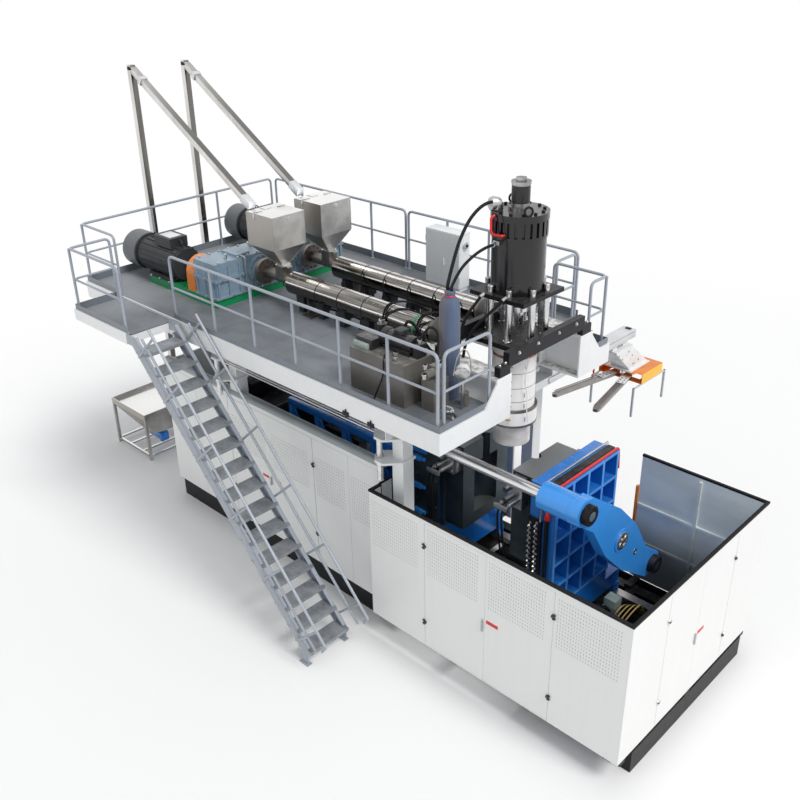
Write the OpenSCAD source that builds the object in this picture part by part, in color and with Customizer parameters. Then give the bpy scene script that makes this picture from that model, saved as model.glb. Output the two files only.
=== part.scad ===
// Two-extruder accumulator-head blow moulding machine with platform, stair, clamp and take-out robot.
// Millimetres, +Z up. Origin on the floor under the axis of the extrusion head,
// +X along the machine to the clamp end, +Y to the side away from the stair.

/* [Base and enclosure] */
// End of the base at the clamp side, along X
base_end_x = 2760; // [2600:10:2900]
// Half width of the steel base
base_half_y = 1280; // [1240:10:1300]
// Height of the base channels
base_h = 300; // [260:10:320]
// Top of the clamp enclosure
wall_top = 2250; // [2150:10:2300]
// Thickness of the folded sheet panels
panel_t = 30; // [25:1:40]

/* [Platform] */
// Height of the platform floor
deck_z = 3620; // [3600:5:3660]
// Half width of the platform floor
deck_half_y = 1850; // [1800:10:1900]
// Height of the railing above the floor
rail_h = 930; // [900:10:1000]
// Diameter of the railing tube
rail_d = 44; // [36:2:50]
// Number of stair treads
tread_count = 15; // [12:1:15]

/* [Extruders] */
// Height of the extruder barrels
barrel_z = 4020; // [4000:5:4040]
// Sideways distance of each barrel from the middle
barrel_y = 430; // [420:5:440]
// Diameter of the polished heater covers
cover_d = 308; // [300:2:320]
// Side of the square hopper
hopper_w = 560; // [500:10:600]

/* [Extrusion head] */
// Diameter of the push cylinder
ram_cyl_d = 620; // [560:10:620]
// Diameter of the heated head body
head_d = 530; // [480:10:540]
// Height of the die above the floor
die_z = 2670; // [2640:5:2720]

/* [Clamp] */
// Height of the clamp centre
clamp_z = 1915; // [1900:5:1930]
// Diameter of the two tie bars
tie_d = 140; // [120:5:150]
// Half width of the platens
platen_half_y = 640; // [600:10:650]
// Opening of each platen from the middle
open_half = 385; // [300:5:385]
// Thickness of each mould half
mould_t = 415; // [380:5:415]

/* [Fits] */
// Gap around doors and lids
door_gap = 3; // [2:0.5:4]
// Radial play of hinge pins and slides
play = 0.1; // [0.05:0.05:0.2]

/* [Output] */
// Sub-part to build

/* [Hidden] */
$fn = 32;
bay = 924;
base_tail_x = -5700;
anchor_x0 = -5400;
anchor_dx = 7800;
anchor_y = 1200;
anchor_r = 14;
sill_z = base_h + 65;
near_y = -1596;
far_y = 1394;
end_x = 2767;
wall_x0 = end_x - 4 * bay;
far_x0 = 1095;
head_rail = 60;
far_mid_x = 1920;
mid_y = 1350;
mid_top = 2440;
mid_x1 = -935;
mid_door_x = -3174;
fascia_bot = 3395;
fascia_top = deck_z + 30;
fascia_t = 20;
deck_t = 20;
deck_x0 = -6690;
deck_x1 = 455;
head_bay_x = -1300;
beam_in = 670;
beam_out = 930;
beam_top = 3950;
beam_end = 475;
far_step_x = -350;
far_step_y = 1320;
land_x0 = -5750;
land_x1 = -4420;
land_y = -2587;
rail_top = deck_z + rail_h;
mid_rail_z = deck_z + rail_h * 0.505;
post_off = 35;
tread_rise = 230;
tread_go = 211;
tread_z0 = 240;
tread_x0 = -1049;
stair_in = 10;
stair_far = -1924;
col_at = [[-620, 1300], [-3940, 1225]];
col_w = 180;
jack_dx = -195;
jack_dy = -195;
jack_r = 38;
jack_low = 2690;
jack_high = 3010;
gear_x0 = -4790;
gear_x1 = -4290;
gear_y1 = 1180;
motor_y = 960;
drive_base_h = 120;
drive_z = deck_z + drive_base_h;
motor_z = 3990;
motor_r = 248;
flange_x = -4110;
barrel_end_x = -830;
barrel_r = 80;
cover_drop = 30;
cover_x = [-3520, -3110, -2720, -2260, -1810, -1300, -880];
foot_x = [-3110, -1810];
hopper_x = -3810;
throat_x = -3720;
hopper_top = 4950;
hopper_box_h = 460;
bore_r = 52;
plate_half = 385;
upper_plate_z = 4590;
upper_plate_t = 50;
lower_plate_z = 4030;
lower_plate_t = 60;
rod_pcr = 345;
rod_r = 25;
ram_r = 95;
pin_r = 34;
die_r = 95;
tie_y = 831;
tie_z = 784;
platen_t = 360;
mould_half_y = 490;
mould_z0 = 1270;
mould_z1 = 2560;
rail_z = 380;
shoe_z = 450;
yoke_x0 = 1520;
yoke_x1 = 1660;
yoke_pts = [[-980, 700], [-930, 900], [-700, 930], [-80, 480], [330, 60], [640, -440], [980, -700],
            [930, -900], [700, -930], [80, -480], [-330, -60], [-640, 440]];
cyl_z = 470;
sleeve_x = -100;
sleeve_y = -1060;
sleeve_top = 4885;
cab_x0 = -2780;
cab_w = 635;
cab_y = deck_half_y - 350;
cab_top = 4470;
bin_top = 900;
robot_z = 3210;
beam_far_y = 2650;
frame_z = 2600;
arm_px = 95;
arm_py = 2560;
arm_l = 1240;
arm_turn = 11.3;

module box(x0, x1, y0, y1, z0, z1) {
    translate([x0, y0, z0])
        cube([x1 - x0, y1 - y0, z1 - z0]);
}

module mirror_y() {
    children();
    mirror([0, 1, 0])
        children();
}

module xcyl(x0, x1, y, z, r) {
    translate([x0, y, z])
        rotate([0, 90, 0])
            cylinder(h = x1 - x0, r = r);
}

module ycyl(y0, y1, x, z, r) {
    translate([x, y0, z])
        rotate([-90, 0, 0])
            cylinder(h = y1 - y0, r = r);
}

module zcyl(z0, z1, x, y, r) {
    translate([x, y, z0])
        cylinder(h = z1 - z0, r = r);
}

// Straight round tube of few sides between two points
module stick(a, b, r, n = 10) {
    d = b - a;
    len = norm(d);
    translate(a)
        rotate([0, acos(d[2] / len), atan2(d[1], d[0])])
            cylinder(h = len, r = r, $fn = n);
}

// Channel along X: web outside at y, flanges inward
module channel_x(x0, x1, y, dir, z0, z1, w, t) {
    box(x0, x1, min(y, y - dir * t), max(y, y - dir * t), z0, z1);
    box(x0, x1, min(y, y - dir * w), max(y, y - dir * w), z0, z0 + t);
    box(x0, x1, min(y, y - dir * w), max(y, y - dir * w), z1 - t, z1);
}

// Riser on the base with a plate that reaches out under a wall
module sill_bracket(x, y_in, y_base, y_out) {
    box(x, x + 100, min(y_in, y_base), max(y_in, y_base), base_h, sill_z);
    box(x, x + 100, min(y_in, y_out), max(y_in, y_out), sill_z - 12, sill_z);
}

// Base of black steel channels with sills that carry the panels
module base_frame() {
    color([0.06, 0.06, 0.065]) {
        mirror_y()
            difference() {
                channel_x(base_tail_x, base_end_x, base_half_y, 1, 0, base_h, 150, 20);
                for (x = [anchor_x0, anchor_x0 + anchor_dx])
                    zcyl(-1, 21, x, anchor_y, anchor_r);
            }
        for (x = [base_tail_x, -3900, -2265, -1100, -65, 1200, 2135, base_end_x - 130])
            box(x, x + 130, -base_half_y + 20, base_half_y - 20, 0, base_h);
        for (x = [-860, 400, 1500, base_end_x - 180])
            sill_bracket(x, -base_half_y + 150, -base_half_y, near_y + 4);
        for (x = [1160, base_end_x - 180])
            sill_bracket(x, base_half_y - 150, base_half_y, far_y - 4);
        for (x = [base_tail_x + 60, -3700, -2400, -1300])
            mirror_y()
                sill_bracket(x, -base_half_y + 150, -base_half_y, -mid_y + 4);
        for (y = [near_y + 60, -101 - 50, far_y - 160])
            box(base_end_x - 200, end_x - 4, y, y + 100, base_h, sill_z);
    }
}

// Floor rails of the clamp and the two drive cylinders between them
module clamp_rails() {
    color([0.62, 0.63, 0.65]) {
        mirror_y()
            box(-2300, base_end_x - 60, 850, 970, base_h, rail_z);
        for (s = [-1, 1]) {
            xc = s * 2200;
            box(xc - 40, xc + 40, -100, 100, base_h, cyl_z + 110);
            difference() {
                xcyl(s < 0 ? -2200 : 1600, s < 0 ? -1600 : 2200, 0, cyl_z, 80);
                xcyl(s < 0 ? -2160 : 1599, s < 0 ? -1599 : 2160, 0, cyl_z, 62);
            }
            difference() {
                xcyl(s < 0 ? -1640 : 1600, s < 0 ? -1600 : 1640, 0, cyl_z, 79);
                xcyl(s < 0 ? -1641 : 1599, s < 0 ? -1599 : 1641, 0, cyl_z, 30 + play);
            }
        }
    }
}

// White columns with jack brackets
module columns() {
    color([0.93, 0.93, 0.92])
        for (c = col_at)
            mirror_y() {
                box(c[0] - col_w / 2, c[0] + col_w / 2, -c[1] - col_w / 2, -c[1] + col_w / 2, base_h, jack_low);
                difference() {
                    translate([c[0], -c[1], jack_low])
                        linear_extrude(30)
                            polygon([[110, 105], [110, -110], [-60, -290], [-190, -290], [-290, -190], [-290, -60], [-110, 105]]);
                    zcyl(jack_low - 1, jack_low + 31, c[0] + jack_dx, -c[1] + jack_dy, jack_r + 2);
                }
                difference() {
                    box(c[0] - 85, c[0] + 85, -c[1] - 85, -c[1] + 85, jack_low + 30, jack_high - 20);
                    box(c[0] - 65, c[0] + 65, -c[1] - 65, -c[1] + 65, jack_low + 60, jack_high);
                }
            }
}

// Chrome jack screws with nuts, and the two long shafts that link the near ones
module jack_screws() {
    color([0.75, 0.76, 0.78])
        for (c = col_at)
            mirror_y()
                translate([c[0] + jack_dx, -c[1] + jack_dy, 0]) {
                    zcyl(2420, jack_high, 0, 0, jack_r);
                    zcyl(jack_low - 60, jack_low, 0, 0, 52);
                    zcyl(jack_low + 30, jack_low + 60, 0, 0, 46);
                    zcyl(jack_high - 40, jack_high, 0, 0, 46);
                }
    color([0.75, 0.76, 0.78])
        for (y = [-1450, -1400])
            xcyl(-4120, -800, y, jack_high - 12.2, 12);
}

// Fixed panels of the middle cabinet with the rounded tray on top
module mid_panels() {
    color([0.93, 0.93, 0.92]) {
        mirror_y() {
            box(base_tail_x, mid_door_x - bay - door_gap, -mid_y, -mid_y + panel_t, sill_z, mid_top);
            box(mid_door_x + bay + door_gap, mid_x1, -mid_y, -mid_y + panel_t, sill_z, mid_top);
            box(base_tail_x, mid_x1, -mid_y, -mid_y + panel_t, mid_top - head_rail, mid_top);
        }
        box(mid_door_x - bay - door_gap, mid_door_x + bay + door_gap, mid_y - panel_t, mid_y, sill_z, mid_top);
        box(mid_door_x - bay - door_gap, mid_door_x + bay + door_gap, -mid_y, -mid_y + panel_t, sill_z, sill_z + 20);
        box(base_tail_x, base_tail_x + panel_t, -mid_y + panel_t, mid_y - panel_t, sill_z, mid_top);
        mirror_y()
            difference() {
                translate([base_tail_x + 10, -mid_y + 76, mid_top])
                    rotate([0, 90, 0])
                        cylinder(h = mid_x1 - base_tail_x - 10, r = 74);
                box(base_tail_x, mid_x1, -mid_y - 10, -mid_y + 160, mid_top - 100, mid_top);
                for (c = col_at)
                    box(c[0] - 92, c[0] + 92, -c[1] - 92, -c[1] + 92, mid_top - 1, mid_top + 80);
            }
        for (s = [-1, 1])
            for (z = [861, 1970])
                hinge_fixed(mid_door_x + s * bay, -mid_y, z, 0, s);
    }
}

// Two lugs and a pin on a fixed panel; the panel is on side s of the seam
module hinge_fixed(x, y, z, turn, s) {
    translate([x, y, z])
        rotate([0, 0, turn])
        {
            zcyl(-32, -14, 0, -14, 11);
            zcyl(14, 32, 0, -14, 11);
            zcyl(-32, 32, 0, -14, 6);
            box(s > 0 ? 4 : -26, s > 0 ? 26 : -4, -20, 0, -32, -14);
            box(s > 0 ? 4 : -26, s > 0 ? 26 : -4, -20, 0, 14, 32);
        }
}

// Knuckle on a door; the door is on side s of the seam
module hinge_door(x, y, z, turn, s) {
    translate([x, y, z])
        rotate([0, 0, turn])
            difference() {
                union() {
                    zcyl(-13, 13, 0, -14, 11);
                    box(s > 0 ? 4 : -26, s > 0 ? 26 : -4, -20, 0, -13, 13);
                }
                zcyl(-14, 14, 0, -14, 6 + play);
            }
}

// Door leaf with stiffened back, drawn from its hinge seam towards side s
module leaf(z0, z1, s) {
    x0 = s > 0 ? door_gap : -bay + door_gap / 2;
    x1 = s > 0 ? bay - door_gap / 2 : -door_gap;
    difference() {
        box(x0, x1, 0, panel_t, z0, z1);
        box(x0 + 40, x1 - 40, 3, panel_t + 1, z0 + 40, z1 - 40);
    }
    box(x0 + 40, x1 - 40, 3, panel_t - 10, (z0 + z1) / 2 - 20, (z0 + z1) / 2 + 20);
}

module mid_leaf(s) {
    color([0.93, 0.93, 0.92]) {
        translate([mid_door_x - s * bay, -mid_y, 0])
            leaf(sill_z + 20 + door_gap, mid_top - head_rail - door_gap, s);
        for (z = [861, 1970])
            hinge_door(mid_door_x - s * bay, -mid_y, z, 0, s);
    }
}

module mid_door_a() {
    mid_leaf(1);
}

module mid_door_b() {
    mid_leaf(-1);
}

// White walls round the clamp with openings for the two double doors
module encl_walls() {
    x1 = wall_x0 + bay;
    x3 = wall_x0 + 3 * bay;
    yb = (far_y - near_y) / 4;
    e1 = near_y + yb;
    e3 = near_y + 3 * yb;
    color([0.93, 0.93, 0.92]) {
        difference() {
            union() {
                box(wall_x0, end_x, near_y, near_y + panel_t, sill_z, wall_top);
                box(end_x - panel_t, end_x, near_y, far_y, sill_z, wall_top);
                box(far_x0, end_x, far_y - panel_t, far_y, sill_z, wall_top);
                box(wall_x0, wall_x0 + panel_t, near_y, near_y + 190, sill_z, wall_top);
                box(far_mid_x - 20, far_mid_x + 20, far_y - panel_t - 25, far_y - 5, sill_z, wall_top - head_rail);
                for (z = [930, 1500])
                    box(far_x0 + 10, end_x - 10, far_y - panel_t - 25, far_y - 5, z, z + 40);
            }
            box(x1, x3, near_y - 1, near_y + panel_t + 1, sill_z + 20, wall_top - head_rail);
            box(end_x - panel_t - 1, end_x + 1, e1, e3, sill_z + 20, wall_top - head_rail);
        }
        for (z = [736, 1868]) {
            hinge_fixed(x1, near_y, z, 0, -1);
            hinge_fixed(x3, near_y, z, 0, 1);
            hinge_fixed(end_x, e1, z, 90, -1);
            hinge_fixed(end_x, e3, z, 90, 1);
        }
    }
}

// Black rubber edging on top of the walls
module encl_rim() {
    color([0.05, 0.05, 0.05]) {
        difference() {
            union() {
                box(wall_x0 - 4, end_x + 4, near_y - 4, near_y + panel_t + 4, wall_top - 15, wall_top + 12);
                box(end_x - panel_t - 4, end_x + 4, near_y - 4, far_y + 4, wall_top - 15, wall_top + 12);
                box(far_x0 - 4, end_x + 4, far_y - panel_t - 4, far_y + 4, wall_top - 15, wall_top + 12);
                box(wall_x0 - 4, wall_x0 + panel_t + 4, near_y - 4, near_y + 194, wall_top - 15, wall_top + 12);
            }
            box(wall_x0, end_x, near_y, near_y + panel_t, wall_top - 30, wall_top);
            box(end_x - panel_t, end_x, near_y, far_y, wall_top - 30, wall_top);
            box(far_x0, end_x, far_y - panel_t, far_y, wall_top - 30, wall_top);
            box(wall_x0, wall_x0 + panel_t, near_y, near_y + 190, wall_top - 30, wall_top);
        }
    }
}

module wall_leaf(x, y, turn, s, w) {
    color([0.93, 0.93, 0.92]) {
        translate([x, y, 0])
            rotate([0, 0, turn])
                scale([w / bay, 1, 1])
                    leaf(sill_z + 20 + door_gap, wall_top - head_rail - door_gap, s);
        for (z = [736, 1868])
            hinge_door(x, y, z, turn, s);
    }
}

module near_door_a() {
    wall_leaf(wall_x0 + bay, near_y, 0, 1, bay);
}

module near_door_b() {
    wall_leaf(wall_x0 + 3 * bay, near_y, 0, -1, bay);
}

module end_door_a() {
    wall_leaf(end_x, near_y + (far_y - near_y) / 4, 90, 1, (far_y - near_y) / 4);
}

module end_door_b() {
    wall_leaf(end_x, near_y + 3 * (far_y - near_y) / 4, 90, -1, (far_y - near_y) / 4);
}

// Two deep beams that carry the head
module main_beams() {
    color([0.93, 0.93, 0.92])
        mirror_y() {
            box(head_bay_x, beam_end, beam_in, beam_out, beam_top - 30, beam_top);
            box(head_bay_x, beam_end, beam_in, beam_out, fascia_bot, fascia_bot + 30);
            box(head_bay_x, beam_end, 785, 815, fascia_bot + 30, beam_top - 30);
            box(beam_end - 20, beam_end, beam_in, beam_out, fascia_bot + 30, beam_top - 30);
            for (x = [-1290, -700, -120])
                box(x, x + 20, beam_in, beam_out, fascia_bot + 30, beam_top - 30);
        }
}

// White edge beams, cross bearers and tapered end plates of the platform
module fascia() {
    y = deck_half_y + fascia_t;
    color([0.95, 0.95, 0.94]) {
        box(deck_x0 - fascia_t, deck_x1, -y, -y + fascia_t, fascia_bot, fascia_top);
        box(deck_x0 - fascia_t, far_step_x + fascia_t, y - fascia_t, y, fascia_bot, fascia_top);
        box(deck_x0 - fascia_t, deck_x0, -y, y, fascia_bot, fascia_top);
        box(deck_x1, beam_end, -y, -beam_out, fascia_bot, fascia_top);
        box(far_step_x, deck_x1, far_step_y, far_step_y + fascia_t, fascia_bot, fascia_top);
        box(far_step_x, far_step_x + fascia_t, far_step_y, y, fascia_bot, fascia_top);
        box(deck_x1, beam_end, beam_out, far_step_y + fascia_t, fascia_bot, fascia_top);
        mirror_y()
            translate([deck_x1, 0, 0])
                rotate([90, 0, 90])
                    linear_extrude(beam_end - deck_x1)
                        polygon([[-beam_out - 190, fascia_top], [-beam_out, beam_top - 60], [-beam_out, fascia_top]]);
        for (x = [-6600, -5200, -4100, -2700, head_bay_x - 130])
            box(x, x + 130, -deck_half_y, deck_half_y, fascia_bot, deck_z - deck_t);
        for (x = [-900, 100]) {
            box(x, x + 130, -deck_half_y, -beam_out, fascia_bot, deck_z - deck_t);
            box(x, x + 130, beam_out, far_step_y, fascia_bot, deck_z - deck_t);
        }
        box(land_x0 - fascia_t, land_x1, land_y, land_y + fascia_t, fascia_bot + 100, fascia_top);
        box(land_x0 - fascia_t, land_x0, land_y, -y, fascia_bot + 100, fascia_top);
        for (x = [land_x0, land_x1 - 80])
            box(x, x + 80, land_y + fascia_t, -y, fascia_bot + 100, deck_z - deck_t);
        for (c = col_at)
            mirror_y() {
                translate([c[0], -c[1], jack_high])
                    linear_extrude(30)
                        polygon([[110, 105], [110, -110], [-60, -290], [-190, -290], [-290, -190], [-290, -60], [-110, 105]]);
                box(c[0] - 80, c[0] + 80, -c[1] - 80, -c[1] + 80, jack_high + 30, fascia_bot + 60);
                box(c[0] - 8, c[0] + 8, -c[1] - 280, -c[1] - 80, jack_high + 30, fascia_bot);
                box(c[0] - 280, c[0] - 80, -c[1] - 8, -c[1] + 8, jack_high + 30, fascia_bot);
                box(c[0] - 80, c[0] + 280, -c[1] - 80, -c[1] + 80, fascia_bot, fascia_bot + 60);
            }
    }
}

// Grey chequer floor plates
module deck() {
    color([0.42, 0.43, 0.44]) {
        box(deck_x0, head_bay_x, -deck_half_y, deck_half_y, deck_z - deck_t, deck_z);
        box(head_bay_x, deck_x1, -deck_half_y, -beam_out, deck_z - deck_t, deck_z);
        box(head_bay_x, far_step_x, beam_out, deck_half_y, deck_z - deck_t, deck_z);
        box(far_step_x, deck_x1, beam_out, far_step_y, deck_z - deck_t, deck_z);
        box(land_x0, land_x1, land_y + fascia_t, -deck_half_y - fascia_t, deck_z - deck_t, deck_z);
    }
}

// Upright kick plates along the edges
module kick_plates() {
    z1 = deck_z + 105;
    color([0.36, 0.39, 0.43]) {
        box(land_x1 + 20, deck_x1, -deck_half_y, -deck_half_y + 8, deck_z, z1);
        box(deck_x0, land_x0 - 20, -deck_half_y, -deck_half_y + 8, deck_z, z1);
        box(deck_x0, far_step_x, deck_half_y - 8, deck_half_y, deck_z, z1);
        box(deck_x0, deck_x0 + 8, -deck_half_y + 8, deck_half_y - 8, deck_z, z1);
        box(deck_x1 - 8, deck_x1, -deck_half_y + 8, -beam_out, deck_z, z1);
        box(far_step_x, deck_x1, far_step_y - 8, far_step_y, deck_z, z1);
        box(deck_x1 - 8, deck_x1, beam_out, far_step_y - 8, deck_z, z1);
        box(land_x0, land_x1, land_y + fascia_t, land_y + fascia_t + 8, deck_z, z1);
        box(land_x0, land_x0 + 8, land_y + fascia_t + 8, -deck_half_y - fascia_t, deck_z, z1);
    }
}

// Railing panel through a list of points with a post at each one
module rail_run(pts) {
    r = rail_d / 2;
    zt = rail_top - r;
    for (i = [0 : len(pts) - 1])
        translate([pts[i][0], pts[i][1], deck_z])
            cylinder(h = zt - deck_z, r = r, $fn = 12);
    for (i = [0 : len(pts) - 2]) {
        stick([pts[i][0], pts[i][1], zt], [pts[i + 1][0], pts[i + 1][1], zt], r, 12);
        stick([pts[i][0], pts[i][1], mid_rail_z], [pts[i + 1][0], pts[i + 1][1], mid_rail_z], r * 0.8, 12);
    }
    for (i = [0, len(pts) - 1])
        translate([pts[i][0], pts[i][1], zt])
            sphere(r = r, $fn = 12);
    for (i = [1 : len(pts) - 2])
        translate([pts[i][0], pts[i][1], zt])
            sphere(r = r, $fn = 12);
}

module railings() {
    yn = -deck_half_y + post_off;
    yf = deck_half_y - post_off;
    xl = deck_x0 + post_off;
    yl = land_y + fascia_t + post_off;
    color([0.62, 0.66, 0.71]) {
        rail_run([for (x = [-4383, -3479, -2652, -1868, -1084, -316, 401]) [x, yn]]);
        rail_run([[deck_x1 - post_off, yn + 74], [deck_x1 - post_off, -beam_out - 69]]);
        rail_run([[land_x0 - 13, yn], [xl, yn], [xl, -620], [xl, 620], [xl, yf - 60]]);
        rail_run([for (x = [xl + 60, -5900, -5000, -4250, -3500]) [x, yf]]);
        rail_run([for (x = [-3440, -2660, -1880, -1130]) [x, yf]]);
        rail_run([[-1070, yf], [far_step_x - post_off, yf]]);
        rail_run([[far_step_x - post_off, yf - 60], [far_step_x - post_off, far_step_y - post_off + 60]]);
        rail_run([[far_step_x - post_off, far_step_y - post_off], [385, far_step_y - post_off], [385, beam_out + 26]]);
        rail_run([[land_x1 - 60, yl], [land_x0 + post_off, yl], [land_x0 + post_off, -deck_half_y - 70]]);
    }
}

// Stair stringers: folded channels with upright feet
module stringer_web() {
    polygon([[-1110, 0], [-1110, 260], [-4200, fascia_top], [land_x1, fascia_top],
             [land_x1, fascia_top - 140], [-4290, fascia_top - 140], [-1250, 210], [-1250, 0]]);
}

module stair_stringers() {
    color([0.60, 0.64, 0.69])
        for (y = [land_y, stair_far - stair_in]) {
            translate([0, y + stair_in, 0])
                rotate([90, 0, 0])
                    linear_extrude(stair_in)
                        stringer_web();
            box(-1260, -1100, y == land_y ? y - 30 : y - 40, y == land_y ? y + 50 : y + 40, 0, 12);
        }
}

// Folded treads between the stringers
module stair_treads() {
    color([0.45, 0.47, 0.50])
        for (k = [0 : tread_count - 1]) {
            x = tread_x0 - k * tread_go;
            z = tread_z0 + k * tread_rise;
            box(x - 250, x, land_y + stair_in, stair_far - stair_in, z - 6, z);
            box(x - 6, x, land_y + stair_in, stair_far - stair_in, z - 45, z - 6);
            box(x - 250, x - 244, land_y + stair_in, stair_far - stair_in, z - 45, z - 6);
        }
}

// Two rails each side on posts square to the slope
module handrails() {
    ux = 0.739;
    uz = 0.674;
    color([0.62, 0.66, 0.71])
        for (s = [-1, 1]) {
            ys = s < 0 ? land_y : stair_far;
            y = ys + s * 28;
            for (k = [0.6, 3.4, 6.2, 9.0, 11.8, 14]) {
                bx = -1150 - k * tread_go;
                bz = 190 + k * tread_rise;
                stick([bx, ys, bz + 10], [bx, y, bz + 10], 14, 8);
                stick([bx - ux * 12, y, bz + 10 - uz * 12], [bx + ux * 560, y, bz + 10 + uz * 560], 17, 10);
            }
            for (d = [290, 560]) {
                e = [-1150 + 0.1 * tread_go + ux * d, y, 200 - 0.1 * tread_rise + uz * d];
                t = [-1150 - 14.4 * tread_go + ux * d, y, 200 + 14.4 * tread_rise + uz * d];
                stick(e, t, 19, 10);
                translate(e)
                    sphere(r = 19, $fn = 10);
                if (d == 560)
                    stick(e, e + [-70, 0, -110], 19, 10);
            }
        }
}

// Green bases under the drives
module drive_base() {
    color([0.0, 0.45, 0.20])
        mirror_y()
            difference() {
                box(-5990, gear_x1, 10, 1200, deck_z, drive_z);
                box(-5900, -5100, 160, 640, deck_z - 1, drive_z + 1);
            }
}

// Dark motors with round fan covers, feet and terminal boxes
module motor() {
    color([0.10, 0.10, 0.11]) {
        xcyl(-6260, -5330, motor_y, motor_z, motor_r);
        xcyl(-6615, -6260, motor_y, motor_z, motor_r + 28);
        xcyl(-5330, -5290, motor_y, motor_z, motor_r - 12);
        xcyl(-5290, gear_x0, motor_y, motor_z, 45);
        for (a = [-140 : 20 : 140])
            translate([-6200, motor_y, motor_z])
                rotate([a, 0, 0])
                    translate([0, -4, motor_r - 20])
                        cube([860, 8, 38]);
        box(-5980, -5400, motor_y - 240, motor_y + 240, drive_z, motor_z - 180);
        box(-5860, -5450, motor_y - 150, motor_y + 150, motor_z + motor_r - 20, motor_z + motor_r + 130);
    }
}

module motors() {
    mirror([0, 1, 0])
        motor();
    motor();
}

// Orange guards over the couplings
module coupling_guards() {
    color([0.90, 0.38, 0.05])
        mirror_y()
            difference() {
                union() {
                    box(gear_x0 - 200, gear_x0, motor_y - 230, motor_y + 230, drive_z, motor_z);
                    xcyl(gear_x0 - 200, gear_x0, motor_y, motor_z, 230);
                }
                xcyl(gear_x0 - 194, gear_x0 + 6, motor_y, motor_z, 215);
                box(gear_x0 - 194, gear_x0 + 6, motor_y - 215, motor_y + 215, drive_z - 1, motor_z);
                xcyl(gear_x0 - 201, gear_x0, motor_y, motor_z, 60);
            }
}

// Ribbed parallel shaft gearboxes with round thrust housings
module gearboxes() {
    color([0.45, 0.56, 0.66])
        mirror_y() {
            difference() {
                union() {
                    box(gear_x0, gear_x1, 8, gear_y1, drive_z, 4250);
                    for (k = [0 : 6])
                        box(gear_x0, gear_x1 + 25, 20 + k * 186, 48 + k * 186, drive_z + 30, 4190);
                    for (k = [0 : 2])
                        box(gear_x0 + 40 + k * 190, gear_x0 + 68 + k * 190, 8, gear_y1 + 22, drive_z + 30, 4190);
                    box(gear_x0, gear_x1 + 30, 8, gear_y1 + 26, 3990, 4030);
                    box(gear_x0, gear_x1 + 30, 8, gear_y1 + 26, drive_z, drive_z + 30);
                    xcyl(gear_x1, flange_x - 40, barrel_y, barrel_z, 165);
                    xcyl(gear_x1 - 40, gear_x1 + 60, barrel_y, barrel_z, 205);
                    box(gear_x0 + 90, gear_x1 - 60, 520, 760, 4250, 4285);
                }
                xcyl(gear_x0 + 80, flange_x, barrel_y, barrel_z, bore_r + 20);
            }
        }
}

// Barrels with bolted flange, feed throat and end flange
module barrels() {
    color([0.30, 0.30, 0.31])
        mirror_y()
            difference() {
                union() {
                    xcyl(flange_x - 40, flange_x + 20, barrel_y, barrel_z, 185);
                    for (a = [15 : 30 : 345])
                        translate([flange_x + 20, barrel_y, barrel_z])
                            rotate([a, 0, 0])
                                translate([0, 0, 155])
                                    rotate([0, 90, 0])
                                        cylinder(h = 22, r = 16, $fn = 6);
                    xcyl(flange_x + 20, barrel_end_x, barrel_y, barrel_z, barrel_r);
                    box(throat_x - 80, throat_x + 80, barrel_y - 80, barrel_y + 80, barrel_z, 4190);
                    xcyl(barrel_end_x - 40, barrel_end_x, barrel_y, barrel_z, 150);
                    for (x = foot_x) {
                        box(x - 5, x + 5, barrel_y - 110, barrel_y + 110, deck_z + 20, barrel_z - 60);
                        box(x - 90, x + 90, barrel_y - 150, barrel_y + 150, deck_z, deck_z + 20);
                    }
                }
                xcyl(flange_x - 50, barrel_end_x + 1, barrel_y, barrel_z, bore_r);
                box(throat_x - 50, throat_x + 50, barrel_y - 50, barrel_y + 50, barrel_z, 4200);
            }
}

// Polished heater covers, growing towards the head
module barrel_covers() {
    color([0.80, 0.80, 0.82])
        mirror_y()
            for (k = [0 : len(cover_x) - 2])
                difference() {
                    xcyl(cover_x[k] + 6, cover_x[k + 1] - 6, barrel_y, barrel_z - cover_drop, cover_d / 2 + k);
                    xcyl(cover_x[k] - 1, cover_x[k + 1] + 1, barrel_y, barrel_z, barrel_r);
                }
}

// Cooling blowers under the covers
module blower_boxes() {
    color([0.07, 0.07, 0.08])
        mirror_y()
            for (k = [0 : 4]) {
                x = (cover_x[k] + cover_x[k + 1]) / 2;
                difference() {
                    union() {
                        box(x - 75, x + 75, barrel_y - 75, barrel_y + 75, deck_z + 110, barrel_z - 60);
                        ycyl(barrel_y - 115, barrel_y - 75, x, deck_z + 170, 55);
                        box(x - 45, x + 45, barrel_y - 60, barrel_y + 60, deck_z, deck_z + 110);
                    }
                    xcyl(x - 200, x + 200, barrel_y, barrel_z - cover_drop, cover_d / 2 + k);
                }
            }
}

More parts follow.
